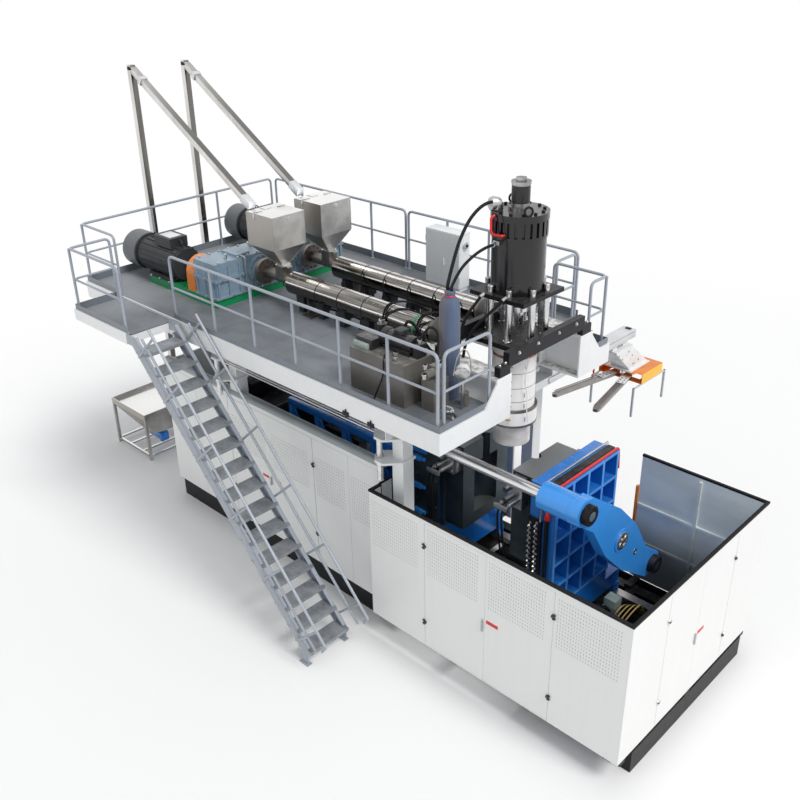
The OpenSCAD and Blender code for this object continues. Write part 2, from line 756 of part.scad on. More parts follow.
// Sheet hoppers with pyramid bottoms and a fixed strip beside the lid
module hopper(y) {
    h = hopper_w / 2;
    t = 6;
    zb = hopper_top - hopper_box_h;
    difference() {
        union() {
            box(hopper_x - h, hopper_x + h, y - h, y + h, zb, hopper_top - 6);
            hull() {
                box(hopper_x - h, hopper_x + h, y - h, y + h, zb - 1, zb);
                box(throat_x - 56, throat_x + 56, y - 56, y + 56, 4209, 4210);
            }
            box(throat_x - 80, throat_x + 80, y - 80, y + 80, 4190, 4210);
        }
        box(hopper_x - h + t, hopper_x + h - t, y - h + t, y + h - t, zb, hopper_top);
        hull() {
            box(hopper_x - h + t, hopper_x + h - t, y - h + t, y + h - t, zb, zb + 1);
            box(throat_x - 50, throat_x + 50, y - 50, y + 50, 4209, 4210);
        }
        box(throat_x - 50, throat_x + 50, y - 50, y + 50, 4180, 4211);
    }
    difference() {
        box(hopper_x - h, hopper_x - h + 170, y - h, y + h, hopper_top - 6, hopper_top);
        box(hopper_x - h + 20, hopper_x - h + 125, y - 50, y + 50, hopper_top - 10, hopper_top + 1);
    }
    for (s = [-1, 1]) {
        for (d = [-60, 26]) {
            ycyl(y + s * 200 + d, y + s * 200 + d + 34, hopper_x - h + 170, hopper_top + 8, 8);
            box(hopper_x - h + 150, hopper_x - h + 170, y + s * 200 + d, y + s * 200 + d + 34, hopper_top - 1, hopper_top + 8);
        }
        ycyl(y + s * 200 - 60, y + s * 200 + 60, hopper_x - h + 170, hopper_top + 8, 4);
    }
}

module hoppers() {
    color([0.72, 0.72, 0.71]) {
        hopper(-barrel_y);
        hopper(barrel_y);
    }
}

module hopper_lid(y) {
    h = hopper_w / 2;
    color([0.72, 0.72, 0.71]) {
        difference() {
            union() {
                box(hopper_x - h + 170 + door_gap, hopper_x + h + 4, y - h, y + h, hopper_top - 5.8, hopper_top);
                for (s = [-1, 1]) {
                    ycyl(y + s * 200 - 25, y + s * 200 + 25, hopper_x - h + 170, hopper_top + 8, 8);
                    box(hopper_x - h + 172, hopper_x - h + 195, y + s * 200 - 25, y + s * 200 + 25, hopper_top - 1, hopper_top + 6);
                }
            }
            for (s = [-1, 1])
                ycyl(y + s * 200 - 30, y + s * 200 + 30, hopper_x - h + 170, hopper_top + 8, 4 + play);
        }
        box(hopper_x + h + 0.3, hopper_x + h + 4, y - h, y + h, hopper_top - 30, hopper_top - 5);
    }
}

module hopper_lid_near() {
    hopper_lid(-barrel_y);
}

module hopper_lid_far() {
    hopper_lid(barrel_y);
}

// Screw with a row of close collars standing for its flight
module screw(y) {
    l = barrel_end_x - 60 - flange_x - 30;
    color([0.55, 0.56, 0.58])
        translate([flange_x + 30, y, barrel_z])
            rotate([0, 90, 0]) {
                cylinder(h = l, r = 38);
                for (k = [0 : 38])
                    translate([0, 0, 40 + k * 78])
                        cylinder(h = 14, r = bore_r - play);
                translate([0, 0, l])
                    cylinder(h = 40, r1 = 38, r2 = 8);
                translate([0, 0, -250])
                    cylinder(h = 252, r = bore_r - play);
            }
}

module screw_near() {
    screw(-barrel_y);
}

module screw_far() {
    screw(barrel_y);
}

// Square stainless loader tubes from the floor bin over the railing to the hoppers
module loader(xv, y, ztop, xe, ze) {
    w = 46;
    dx = xe - (xv + 40);
    dz = ze - (ztop - 60);
    c = dx / norm([dx, dz]);
    s = -dz / norm([dx, dz]);
    translate([0, y + w, 0])
        rotate([90, 0, 0])
            linear_extrude(2 * w)
                polygon([
                    [xv - w, 640],
                    [xv - w, ztop - 30],
                    [xv - w + 20, ztop],
                    [xv + 40, ztop],
                    [xv + 40 + s * w, ztop - 60 + c * w],
                    [xe + s * w, ze + c * w],
                    [xe - s * w, ze - c * w],
                    [xv + w, ztop - 60 - c * w - (w - 40 + s * w) * s / c],
                    [xv + w, 640]
                ]);
    translate([xv + 40, y, ztop - 60])
        rotate([0, atan2(-dz, dx), 0])
            translate([260, -w - 12, -w - 12])
                cube([70, 2 * w + 24, 2 * w + 24]);
    box(xe - 60, hopper_x - hopper_w / 2 + 120, y - 44, y + 44, hopper_top, hopper_top + 90);
}

module loader_tubes() {
    color([0.70, 0.70, 0.69]) {
        loader(-6980, -barrel_y, 6590, -4390, 5010);
        loader(-6850, barrel_y, 6580, -4390, 5010);
    }
}

// Stainless floor bin: open V trough on a leg frame
module floor_bin() {
    x0 = -8110;
    x1 = -7040;
    y0 = -1100;
    y1 = 700;
    zt = bin_top;
    color([0.66, 0.67, 0.67]) {
        difference() {
            union() {
                box(x0, x1, y0, y1, zt - 110, zt);
                hull() {
                    box(x0 + 40, x1, y0 + 6, y1 - 6, zt - 112, zt - 110);
                    box(-7330, -7060, y0 + 150, y1 - 60, 470, 471);
                }
            }
            box(x0 + 6, x1 - 6, y0 + 6, y1 - 6, zt - 104, zt + 1);
            hull() {
                box(x0 + 46, x1 - 6, y0 + 12, y1 - 12, zt - 105, zt - 103);
                box(-7324, -7066, y0 + 156, y1 - 66, 477, 478);
            }
        }
        for (x = [x0, x1 - 45])
            for (y = [y0, y1 - 45])
                difference() {
                    box(x, x + 45, y, y + 45, 0, zt - 20);
                    box(x0 + 6, x1 - 6, y0 + 6, y1 - 6, zt - 110, zt + 1);
                }
        for (y = [y0, y1 - 45])
            box(x0 + 45, x1 - 45, y + 5, y + 40, 60, 95);
        for (x = [x0, x1 - 45])
            box(x + 5, x + 40, y0 + 45, y1 - 45, 60, 95);
        for (x = [-7750, -7350])
            box(x, x + 35, y0 + 5, y1 - 5, 62, 93);
        for (v = [[-6980, -1], [-6850, 1]])
            box(-7065, v[0] + 70, v[1] * barrel_y - 70, v[1] * barrel_y + 70, 440, 640);
    }
}

// Black push cylinder with slotted top ring
module head_cylinder() {
    r = ram_cyl_d / 2;
    z0 = upper_plate_z + upper_plate_t;
    color([0.08, 0.08, 0.085])
        difference() {
            union() {
                zcyl(z0, 5290, 0, 0, r);
                zcyl(5280, 5480, 0, 0, r + 12);
                zcyl(5480, 5560, 0, 0, r + 20);
            }
            for (a = [0 : 15 : 345])
                rotate([0, 0, a])
                    translate([r - 20, -17, 5310])
                        cube([80, 34, 171]);
            zcyl(z0 - 1, 5570, 0, 0, ram_r + play);
        }
}

// Bright ring and small cylinder on top
module head_cap() {
    color([0.50, 0.51, 0.53])
        difference() {
            union() {
                zcyl(5560, 5600, 0, 0, 135);
                zcyl(5600, 5850, 0, 0, 105);
                zcyl(5850, 5880, 0, 0, 112);
                zcyl(5880, 5916, 0, 0, 60);
            }
            zcyl(5550, 5800, 0, 0, pin_r + play);
        }
}

// Black plates and cross beams of the head frame
module head_plates() {
    color([0.07, 0.07, 0.075]) {
        difference() {
            box(-plate_half, plate_half, -plate_half, plate_half, upper_plate_z, upper_plate_z + upper_plate_t);
            zcyl(upper_plate_z - 1, upper_plate_z + 60, 0, 0, ram_r + play);
            rod_places()
                zcyl(upper_plate_z - 1, upper_plate_z + 60, 0, 0, rod_r);
        }
        difference() {
            union() {
                box(-400, 395, -400, 400, lower_plate_z, lower_plate_z + lower_plate_t);
                for (x = [-480, 395])
                    box(x, x + 80, -730, 730, lower_plate_z, 4200);
                for (x = [-480, 395])
                    for (s = [-1, 1])
                        box(x, x + 80, s * 790 - 90, s * 790 + 90, beam_top, lower_plate_z + 40);
            }
            zcyl(lower_plate_z - 1, lower_plate_z + 70, 0, 0, ram_r + play);
            rod_places()
                zcyl(lower_plate_z - 1, lower_plate_z + 70, 0, 0, rod_r);
        }
    }
}

module rod_places() {
    for (k = [0 : 7])
        rotate([0, 0, 22.5 + 45 * k])
            translate([rod_pcr, 0, 0])
                children();
}

// Eight bright tie rods with nuts
module head_rods() {
    zt = upper_plate_z + upper_plate_t;
    color([0.78, 0.78, 0.80])
        rod_places() {
            zcyl(lower_plate_z, zt + 70, 0, 0, rod_r);
            zcyl(lower_plate_z + lower_plate_t, lower_plate_z + lower_plate_t + 30, 0, 0, 34);
            zcyl(upper_plate_z - 30, upper_plate_z - 0.1, 0, 0, 34);
            zcyl(zt, zt + 48, 0, 0, 34);
        }
}

// Chrome ram with crosshead
module ram() {
    color([0.80, 0.81, 0.83])
        difference() {
            union() {
                zcyl(3300, 5200, 0, 0, ram_r);
                zcyl(4400, 4460, 0, 0, 170);
                zcyl(4345, 4400, 0, 0, 125);
            }
            zcyl(3290, 5210, 0, 0, pin_r + play);
        }
}

// Heated body with cream bands, copper rings and the die
module head_body() {
    r = head_d / 2;
    zz = [3860, 3662, 3470, 3291, 3178];
    color([0.85, 0.82, 0.76])
        difference() {
            union() {
                zcyl(3864, lower_plate_z, 0, 0, r - 2);
                for (k = [0 : 3])
                    zcyl(zz[k + 1] + 4, zz[k] - 4, 0, 0, r);
                zcyl(3100, 3870, 0, 0, r - 10);
                zcyl(2965, 3175, 0, 0, r + 33);
                zcyl(die_z + 40, 2965, 0, 0, 214);
                zcyl(die_z, die_z + 255, 0, 0, 229);
                xcyl(barrel_end_x + 150, -150, 0, barrel_z - 75, 75);
                for (s = [-1, 1])
                    ycyl(s < 0 ? -barrel_y : 0, s < 0 ? 0 : barrel_y, barrel_end_x + 110, barrel_z - 75, 75);
                for (s = [-1, 1])
                    xcyl(barrel_end_x, barrel_end_x + 185, s * barrel_y, barrel_z, 150);
            }
            zcyl(2900, lower_plate_z + 1, 0, 0, ram_r + play);
            zcyl(die_z - 1, 2901, 0, 0, die_r + 16);
        }
}

// Mandrel rod with die pin
module die_pin() {
    color([0.55, 0.56, 0.58]) {
        zcyl(die_z + 80, 5760, 0, 0, pin_r);
        zcyl(die_z + 10, die_z + 80, 0, 0, die_r);
    }
}

// Grey two-door electrical cabinet on the deck
module control_cabinet() {
    x0 = cab_x0;
    x1 = cab_x0 + cab_w;
    color([0.78, 0.80, 0.79]) {
        difference() {
            box(x0, x1, cab_y, cab_y + 210, deck_z + 60, cab_top);
            box(x0 + 4, x1 - 4, cab_y - 1, cab_y + 204, deck_z + 64, cab_top - 4);
        }
        box(x0 + 20, x1 - 20, cab_y + 20, cab_y + 200, deck_z, deck_z + 60);
        xcyl(x1, x1 + 22, cab_y + 105, cab_top - 160, 45);
        for (x = [x0 - 8, x1 + 8])
            for (z = [deck_z + 200, cab_top - 140]) {
                zcyl(z - 40, z - 16, x, cab_y - 12, 6);
                zcyl(z + 16, z + 40, x, cab_y - 12, 6);
                zcyl(z - 40, z + 40, x, cab_y - 12, 3);
                for (dz = [-40, 16])
                    box(x < x0 ? x : x1, x < x0 ? x0 : x, cab_y - 15, cab_y + 6, z + dz, z + dz + 24);
            }
    }
}

module panel_door(s) {
    xm = cab_x0 + cab_w / 2;
    xh = s < 0 ? cab_x0 - 8 : cab_x0 + cab_w + 8;
    color([0.78, 0.80, 0.79])
        difference() {
            union() {
                box(s < 0 ? cab_x0 + 1 : xm + 1, s < 0 ? xm - 1 : cab_x0 + cab_w - 1, cab_y - 22, cab_y - 2, deck_z + 62, cab_top - 2);
                for (z = [deck_z + 200, cab_top - 140]) {
                    zcyl(z - 15, z + 15, xh, cab_y - 12, 6);
                    box(min(xh, xh - s * 20), max(xh, xh - s * 20), cab_y - 18, cab_y - 10, z - 15, z + 15);
                }
                if (s > 0)
                    box(xm + 25, xm + 37, cab_y - 36, cab_y - 22, 3990, 4090);
            }
            for (z = [deck_z + 200, cab_top - 140])
                zcyl(z - 16, z + 16, xh, cab_y - 12, 3 + play);
        }
}

module panel_door_l() {
    panel_door(-1);
}

module panel_door_r() {
    panel_door(1);
}

// Hydraulic group: grey sheet tank with pump, motor and valve block
module hyd_unit() {
    color([0.45, 0.46, 0.47]) {
        box(-1100, -250, -1640, -1150, deck_z, 4130);
        box(-1080, -820, -1560, -1380, 4130, 4250);
        box(-120, 60, -1500, -1250, deck_z, 3980);
    }
    color([0.14, 0.14, 0.15]) {
        xcyl(-760, -360, -1330, 4250, 95);
        box(-740, -380, -1420, -1240, 4130, 4180);
        box(-340, -262, -1400, -1260, 4130, 4290);
        zcyl(4130, 4330, -960, -1250, 60);
        box(-100, 40, -1400, -1270, 3980, 4120);
        ycyl(-1540, -1400, -30, 4060, 50);
        zcyl(deck_z, 3790, 190, -1130, 45);
    }
}

// Cloth sleeve round the standing hose bundle
module hose_sleeve() {
    color([0.35, 0.42, 0.52])
        translate([sleeve_x, sleeve_y, deck_z])
            rotate_extrude()
                polygon([[0, 0], [118, 0], [122, 400], [122, 900], [116, 1130], [95, 1190], [55, 1220], [66, sleeve_top - deck_z],
                         [0, sleeve_top - deck_z]]);
}

// Hose through a list of points
module hose(pts, r) {
    for (i = [0 : len(pts) - 2]) {
        stick(pts[i], pts[i + 1], r, 8);
        if (i > 0)
            translate(pts[i])
                sphere(r = r, $fn = 8);
    }
}

module hoses() {
    color([0.05, 0.05, 0.055]) {
        hose([[sleeve_x - 30, sleeve_y, sleeve_top + 0.3], [sleeve_x - 30, sleeve_y, sleeve_top + 50], [-170, -940, 5120],
              [-210, -780, 5340], [-230, -600, 5520], [-215, -440, 5630], [-180, -310, 5670], [-155, -205, 5640],
              [-155, -205, 5560.3]], 24);
        hose([[sleeve_x + 30, sleeve_y, sleeve_top + 0.3], [sleeve_x + 30, sleeve_y, sleeve_top + 50], [-60, -920, 5100],
              [-60, -720, 5190], [-60, -520, 5230], [-60, -308, 5230]], 22);
        hose([[-700, -1234.8, 4250], [-700, -1190, 4250], [-680, -1120, 4380], [-620, -1060, 4330], [-500, -1040, 4160],
              [-360, -1050, 4070], [-310, sleeve_y, 4060], [-224, sleeve_y, 4060]], 20);
    }
}

// Platen plate with ribs on the back; side s is the side of the machine
module platen(s) {
    z1 = clamp_z + 750;
    z0 = 900;
    xi = open_half + mould_t;
    box(xi, xi + 90, -platen_half_y, platen_half_y, z0, z1);
    for (i = [0 : 4]) {
        y = -platen_half_y + i * (2 * platen_half_y - 40) / 4;
        box(xi + 90, xi + platen_t, y, y + 40, z0, z1);
    }
    for (i = [0 : 5]) {
        z = z0 + i * (z1 - z0 - 40) / 5;
        box(xi + 90, xi + platen_t, -platen_half_y, platen_half_y, z, z + 40);
    }
    box(xi + 20, xi + platen_t - 20, -640, 640, shoe_z + 40, z0);
    box(xi + 20, xi + platen_t - 20, -980, 980, shoe_z + 40, 700);
    for (y = [-1, 1])
        box(xi, xi + platen_t, y * 910 - 70, y * 910 + 70, rail_z, shoe_z + 40);
}

// Rod of the low drive cylinder with its bracket
module drive_rod() {
    xi = open_half + mould_t + platen_t;
    xcyl(xi - 40, 2150, 0, cyl_z, 30);
    box(xi - 20, xi, -60, 60, cyl_z - 60, 900);
}

module platen_left() {
    xi = open_half + mould_t;
    color([0.02, 0.25, 0.62])
        mirror([1, 0, 0]) {
            difference() {
                union() {
                    platen(-1);
                    for (m = [[-1, 1], [1, -1]])
                        hull() {
                            translate([xi, m[0] * tie_y, clamp_z + m[1] * tie_z])
                                rotate([0, 90, 0])
                                    cylinder(h = 260, r = 150);
                            translate([xi, m[0] * 480, clamp_z + m[1] * 520])
                                rotate([0, 90, 0])
                                    cylinder(h = 260, r = 150);
                        }
                }
                for (m = [[-1, 1], [1, -1]])
                    xcyl(xi - 10, xi + 400, m[0] * tie_y, clamp_z + m[1] * tie_z, tie_d / 2);
            }
            for (y = [-500, -180, 140, 460])
                translate([xi + platen_t, y + 40, 0])
                    rotate([90, 0, 0])
                        linear_extrude(40)
                            polygon([[0, 950], [900, 950], [900, 1100], [0, 2600]]);
            drive_rod();
        }
}

module platen_right() {
    color([0.02, 0.25, 0.62]) {
        platen(1);
        drive_rod();
    }
}

// Mould halves with backing plates and a bottle cavity
module mould() {
    difference() {
        union() {
            box(open_half, open_half + mould_t - 120, -mould_half_y + 40, mould_half_y - 40, mould_z0 + 60, mould_z1);
            box(open_half + mould_t - 120, open_half + mould_t, -mould_half_y, mould_half_y, mould_z0, mould_z1);
        }
        zcyl(1500, 2250, open_half, 0, 230);
        zcyl(2240, mould_z1 + 1, open_half, 0, 70);
    }
}

module mould_left() {
    color([0.16, 0.17, 0.18])
        mirror([1, 0, 0])
            mould();
}

module mould_right() {
    color([0.16, 0.17, 0.18])
        mould();
}

// Tie bars with end nuts
module tie_bars() {
    color([0.80, 0.80, 0.80])
        for (m = [[-1, 1], [1, -1]]) {
            xcyl(-1290, 1745, m[0] * tie_y, clamp_z + m[1] * tie_z, tie_d / 2);
            xcyl(-1190, -open_half - mould_t - 260, m[0] * tie_y, clamp_z + m[1] * tie_z, 112);
            xcyl(yoke_x1, 1735, m[0] * tie_y, clamp_z + m[1] * tie_z, 115);
        }
}

// Blue yoke across the two tie bars
module yoke() {
    color([0.02, 0.30, 0.68])
        difference() {
            union() {
                for (m = [[-1, 1], [1, -1]])
                    xcyl(1110, yoke_x1, m[0] * tie_y, clamp_z + m[1] * tie_z, 165);
                translate([yoke_x0, 0, clamp_z])
                    rotate([90, 0, 90])
                        linear_extrude(yoke_x1 - yoke_x0)
                            polygon(yoke_pts);
                xcyl(1330, yoke_x1 + 12, 0, clamp_z, 150);
            }
            for (m = [[-1, 1], [1, -1]])
                xcyl(1100, yoke_x1 + 1, m[0] * tie_y, clamp_z + m[1] * tie_z, tie_d / 2);
        }
}

// Black side cylinders with their brackets on a mould half
module side_cylinders(s) {
    color([0.07, 0.07, 0.075])
        for (z = [2330, 2480]) {
            x = s < 0 ? -open_half - 220 : open_half + 40;
            box(x, x + 180, -mould_half_y - 30, -mould_half_y + 40, z - 50, z + 50);
            ycyl(-mould_half_y - 280, -mould_half_y - 30, x + 90, z, 36);
        }
}

module side_cylinders_left() {
    side_cylinders(-1);
}

module side_cylinders_right() {
    side_cylinders(1);
}

// Robot beam under the platform, out over the far side
module robot_beam() {
    color([0.80, 0.81, 0.82]) {
        box(-100, 100, 320, beam_far_y, robot_z, robot_z + 110);
        box(-60, -30, 330, beam_far_y - 10, robot_z - 20, robot_z);
        box(30, 60, 330, beam_far_y - 10, robot_z - 20, robot_z);
        for (y = [beam_in, far_step_y - 120])
            box(-100, 100, y, y + 120, robot_z + 110, fascia_bot);
    }
}

// Gripper arm on side s, on its pivot pin
module grip_arm(s) {
    color([0.45, 0.46, 0.48])
        translate([s * arm_px, arm_py, frame_z + 8.2])
            difference() {
                union() {
                    cylinder(h = 60, r = 55);
                    rotate([0, 0, s * arm_turn]) {
                        translate([-45, -arm_l + 60, 0])
                            cube([90, arm_l - 60, 44]);
                        translate([-65, -330, 44])
                            cube([130, 330, 10]);
                        translate([0, -arm_l + 60, 0])
                            cylinder(h = 44, r = 45);
                    }
                }
                translate([0, 0, -1])
                    cylinder(h = 62, r = 14 + play);
            }
}

module robot_carriage() {
    color([0.93, 0.93, 0.92]) {
        for (y = [2120, 2380])
            for (s = [-1, 1])
                box(s < 0 ? -70 : 20, s < 0 ? -20 : 70, y, y + 110, robot_z - 60, robot_z - 20 - play);
        box(-150, 150, 2100, 2510, robot_z - 80, robot_z - 60);
        for (s = [-1, 1])
            translate([s < 0 ? -150 : 142, 0, 0])
                rotate([90, 0, 90])
                    linear_extrude(8)
                        difference() {
                            polygon([[2100, robot_z - 80], [2510, robot_z - 80], [2940, frame_z + 170], [2490, frame_z + 170]]);
                            for (k = [0 : 2])
                                translate([2360 + k * 120, robot_z - 180 - k * 100])
                                    circle(r = 16);
                        }
        translate([-142, 0, 0])
            rotate([90, 0, 90])
                linear_extrude(284)
                    polygon([[2100, robot_z - 80], [2112, robot_z - 80], [2502, frame_z + 170], [2490, frame_z + 170]]);
        box(-200, 200, 2440, 2950, frame_z + 150, frame_z + 170);
        for (s = [-1, 1]) {
            box(s < 0 ? -345 : 325, s < 0 ? -325 : 345, 2310, 3170, frame_z - 20, frame_z);
            for (y = [2320, 3160])
                zcyl(frame_z - 440, frame_z, s * 335, y, 12);
        }
    }
    color([0.92, 0.42, 0.05]) {
        for (s = [-1, 1]) {
            box(s < 0 ? -350 : 342, s < 0 ? -342 : 350, 2500, 3050, frame_z, frame_z + 150);
            box(s < 0 ? -350 : 250, s < 0 ? -250 : 350, 2500, 3050, frame_z + 142, frame_z + 150);
            box(s < 0 ? -350 : 250, s < 0 ? -250 : 350, 2500, 3050, frame_z, frame_z + 8);
        }
        box(-342, 342, 3042, 3050, frame_z, frame_z + 150);
        box(-342, 342, 2950, 3050, frame_z + 142, frame_z + 150);
        box(-342, 342, 2500, 2620, frame_z, frame_z + 8);
        box(-250, 250, 2440, 2950, frame_z + 142, frame_z + 150);
        for (s = [-1, 1])
            zcyl(frame_z + 8, frame_z + 142, s * arm_px, arm_py, 14);
    }
}

module grip_arm_a() {
    grip_arm(-1);
}

module grip_arm_b() {
    grip_arm(1);
}

base_frame();
clamp_rails();
columns();
jack_screws();
mid_panels();
mid_door_a();
mid_door_b();
encl_walls();
encl_rim();
near_door_a();
near_door_b();
end_door_a();
end_door_b();
main_beams();
fascia();
deck();
kick_plates();
railings();
stair_stringers();
stair_treads();
handrails();
drive_base();
motors();
coupling_guards();
gearboxes();
barrels();
barrel_covers();
blower_boxes();
hoppers();
hopper_lid_near();
hopper_lid_far();
screw_near();
screw_far();
loader_tubes();
floor_bin();
head_cylinder();
head_cap();
head_plates();
head_rods();
ram();
head_body();
die_pin();
control_cabinet();
panel_door_l();
panel_door_r();
hyd_unit();
hose_sleeve();
hoses();
platen_left();
platen_right();
mould_left();
mould_right();
tie_bars();
yoke();
side_cylinders_left();
side_cylinders_right();
robot_beam();
robot_carriage();
grip_arm_a();
grip_arm_b();
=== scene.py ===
"""Looks of a blow moulding machine: two extruders feed one head on a platform, above a tie-bar clamp."""

import logging
import math
import random
from dataclasses import dataclass, field
from enum import Enum
from typing import Any, Callable, Sequence

import bmesh
import bpy
from mathutils import Matrix, Vector


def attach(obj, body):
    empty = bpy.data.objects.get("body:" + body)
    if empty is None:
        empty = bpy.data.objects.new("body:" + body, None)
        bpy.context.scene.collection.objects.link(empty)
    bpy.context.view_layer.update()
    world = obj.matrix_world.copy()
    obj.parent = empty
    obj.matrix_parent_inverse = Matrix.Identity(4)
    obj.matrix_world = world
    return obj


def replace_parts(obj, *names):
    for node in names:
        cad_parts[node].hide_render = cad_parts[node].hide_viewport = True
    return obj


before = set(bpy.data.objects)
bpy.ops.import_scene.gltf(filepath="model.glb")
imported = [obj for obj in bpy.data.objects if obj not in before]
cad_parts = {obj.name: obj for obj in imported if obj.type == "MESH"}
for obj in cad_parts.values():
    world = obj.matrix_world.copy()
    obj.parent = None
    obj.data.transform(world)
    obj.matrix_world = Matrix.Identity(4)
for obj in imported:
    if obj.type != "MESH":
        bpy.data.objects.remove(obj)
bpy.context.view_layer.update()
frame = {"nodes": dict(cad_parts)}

Point = Sequence[float]
Color = tuple[float, float, float]
WHITE = (1.0, 1.0, 1.0, 1.0)
ALONG, UP = (1, 0, 0), (0, 0, 1)
log = logging.getLogger("blow_moulding_machine")


def dim(color: Color, factor: float) -> Color:
    """Returns a colour times a factor, at most white."""
    return tuple(min(1.0, c * factor) for c in color)


class Side(Enum):
    """The two sides of the machine, by the sign of Y."""

    NEAR = -1
    FAR = 1


class Axis(Enum):
    """Row axes, by index."""

    X = 0
    Y = 1
    Z = 2


def _operator(operation: str, swapped: bool = False) -> Callable[["Val", Any], "Val"]:
    """Makes an operator of Val that adds one Math node.

    Args:
        operation: the Math node's operation.
        swapped: the value stands on the right of a number.

    Returns:
        The operator's method.
    """
    def method(value: "Val", other: Any) -> "Val":
        """Adds the Math node."""
        return value.math(operation, *((other, value) if swapped else (value, other)))
    return method


class Val:
    """A shader output that takes part in arithmetic; each operation adds one Math node."""

    def __init__(self, shader: "Shader", socket: bpy.types.NodeSocket) -> None:
        """Wraps a socket.

        Args:
            shader: the shader under construction.
            socket: the output that the value comes from.
        """
        self.shader = shader
        self.socket = socket

    def math(self, operation: str, first: Any, second: Any = 0.0, clamp: bool = False) -> "Val":
        """Adds a Math node.

        Args:
            operation: the Math node's operation.
            first: left operand.
            second: right operand.
            clamp: keeps the result between 0 and 1.

        Returns:
            The node's output.
        """
        settings = {"operation": operation, "use_clamp": clamp}
        return self.shader.node("ShaderNodeMath", settings, {0: first, 1: second})

    __add__, __radd__ = _operator("ADD"), _operator("ADD", True)
    __sub__, __rsub__ = _operator("SUBTRACT"), _operator("SUBTRACT", True)
    __mul__, __rmul__ = _operator("MULTIPLY"), _operator("MULTIPLY", True)
    __gt__, __lt__ = _operator("GREATER_THAN"), _operator("LESS_THAN")

    def clamped(self) -> "Val":
        """The value kept between 0 and 1."""
        return self.math("ADD", self, 0.0, clamp=True)

    def absolute(self) -> "Val":
        """The value without its sign."""
        return self.math("ABSOLUTE", self)

    def step(self, low: float, high: float) -> "Val":
        """Smooth rise from 0 at low to 1 at high.

        Args:
            low: value that gives 0.
            high: value that gives 1.

        Returns:
            The mask.
        """
        settings = {"interpolation_type": "SMOOTHSTEP"}
        return self.shader.node("ShaderNodeMapRange", settings,
                                {"Value": self, "From Min": low, "From Max": high})


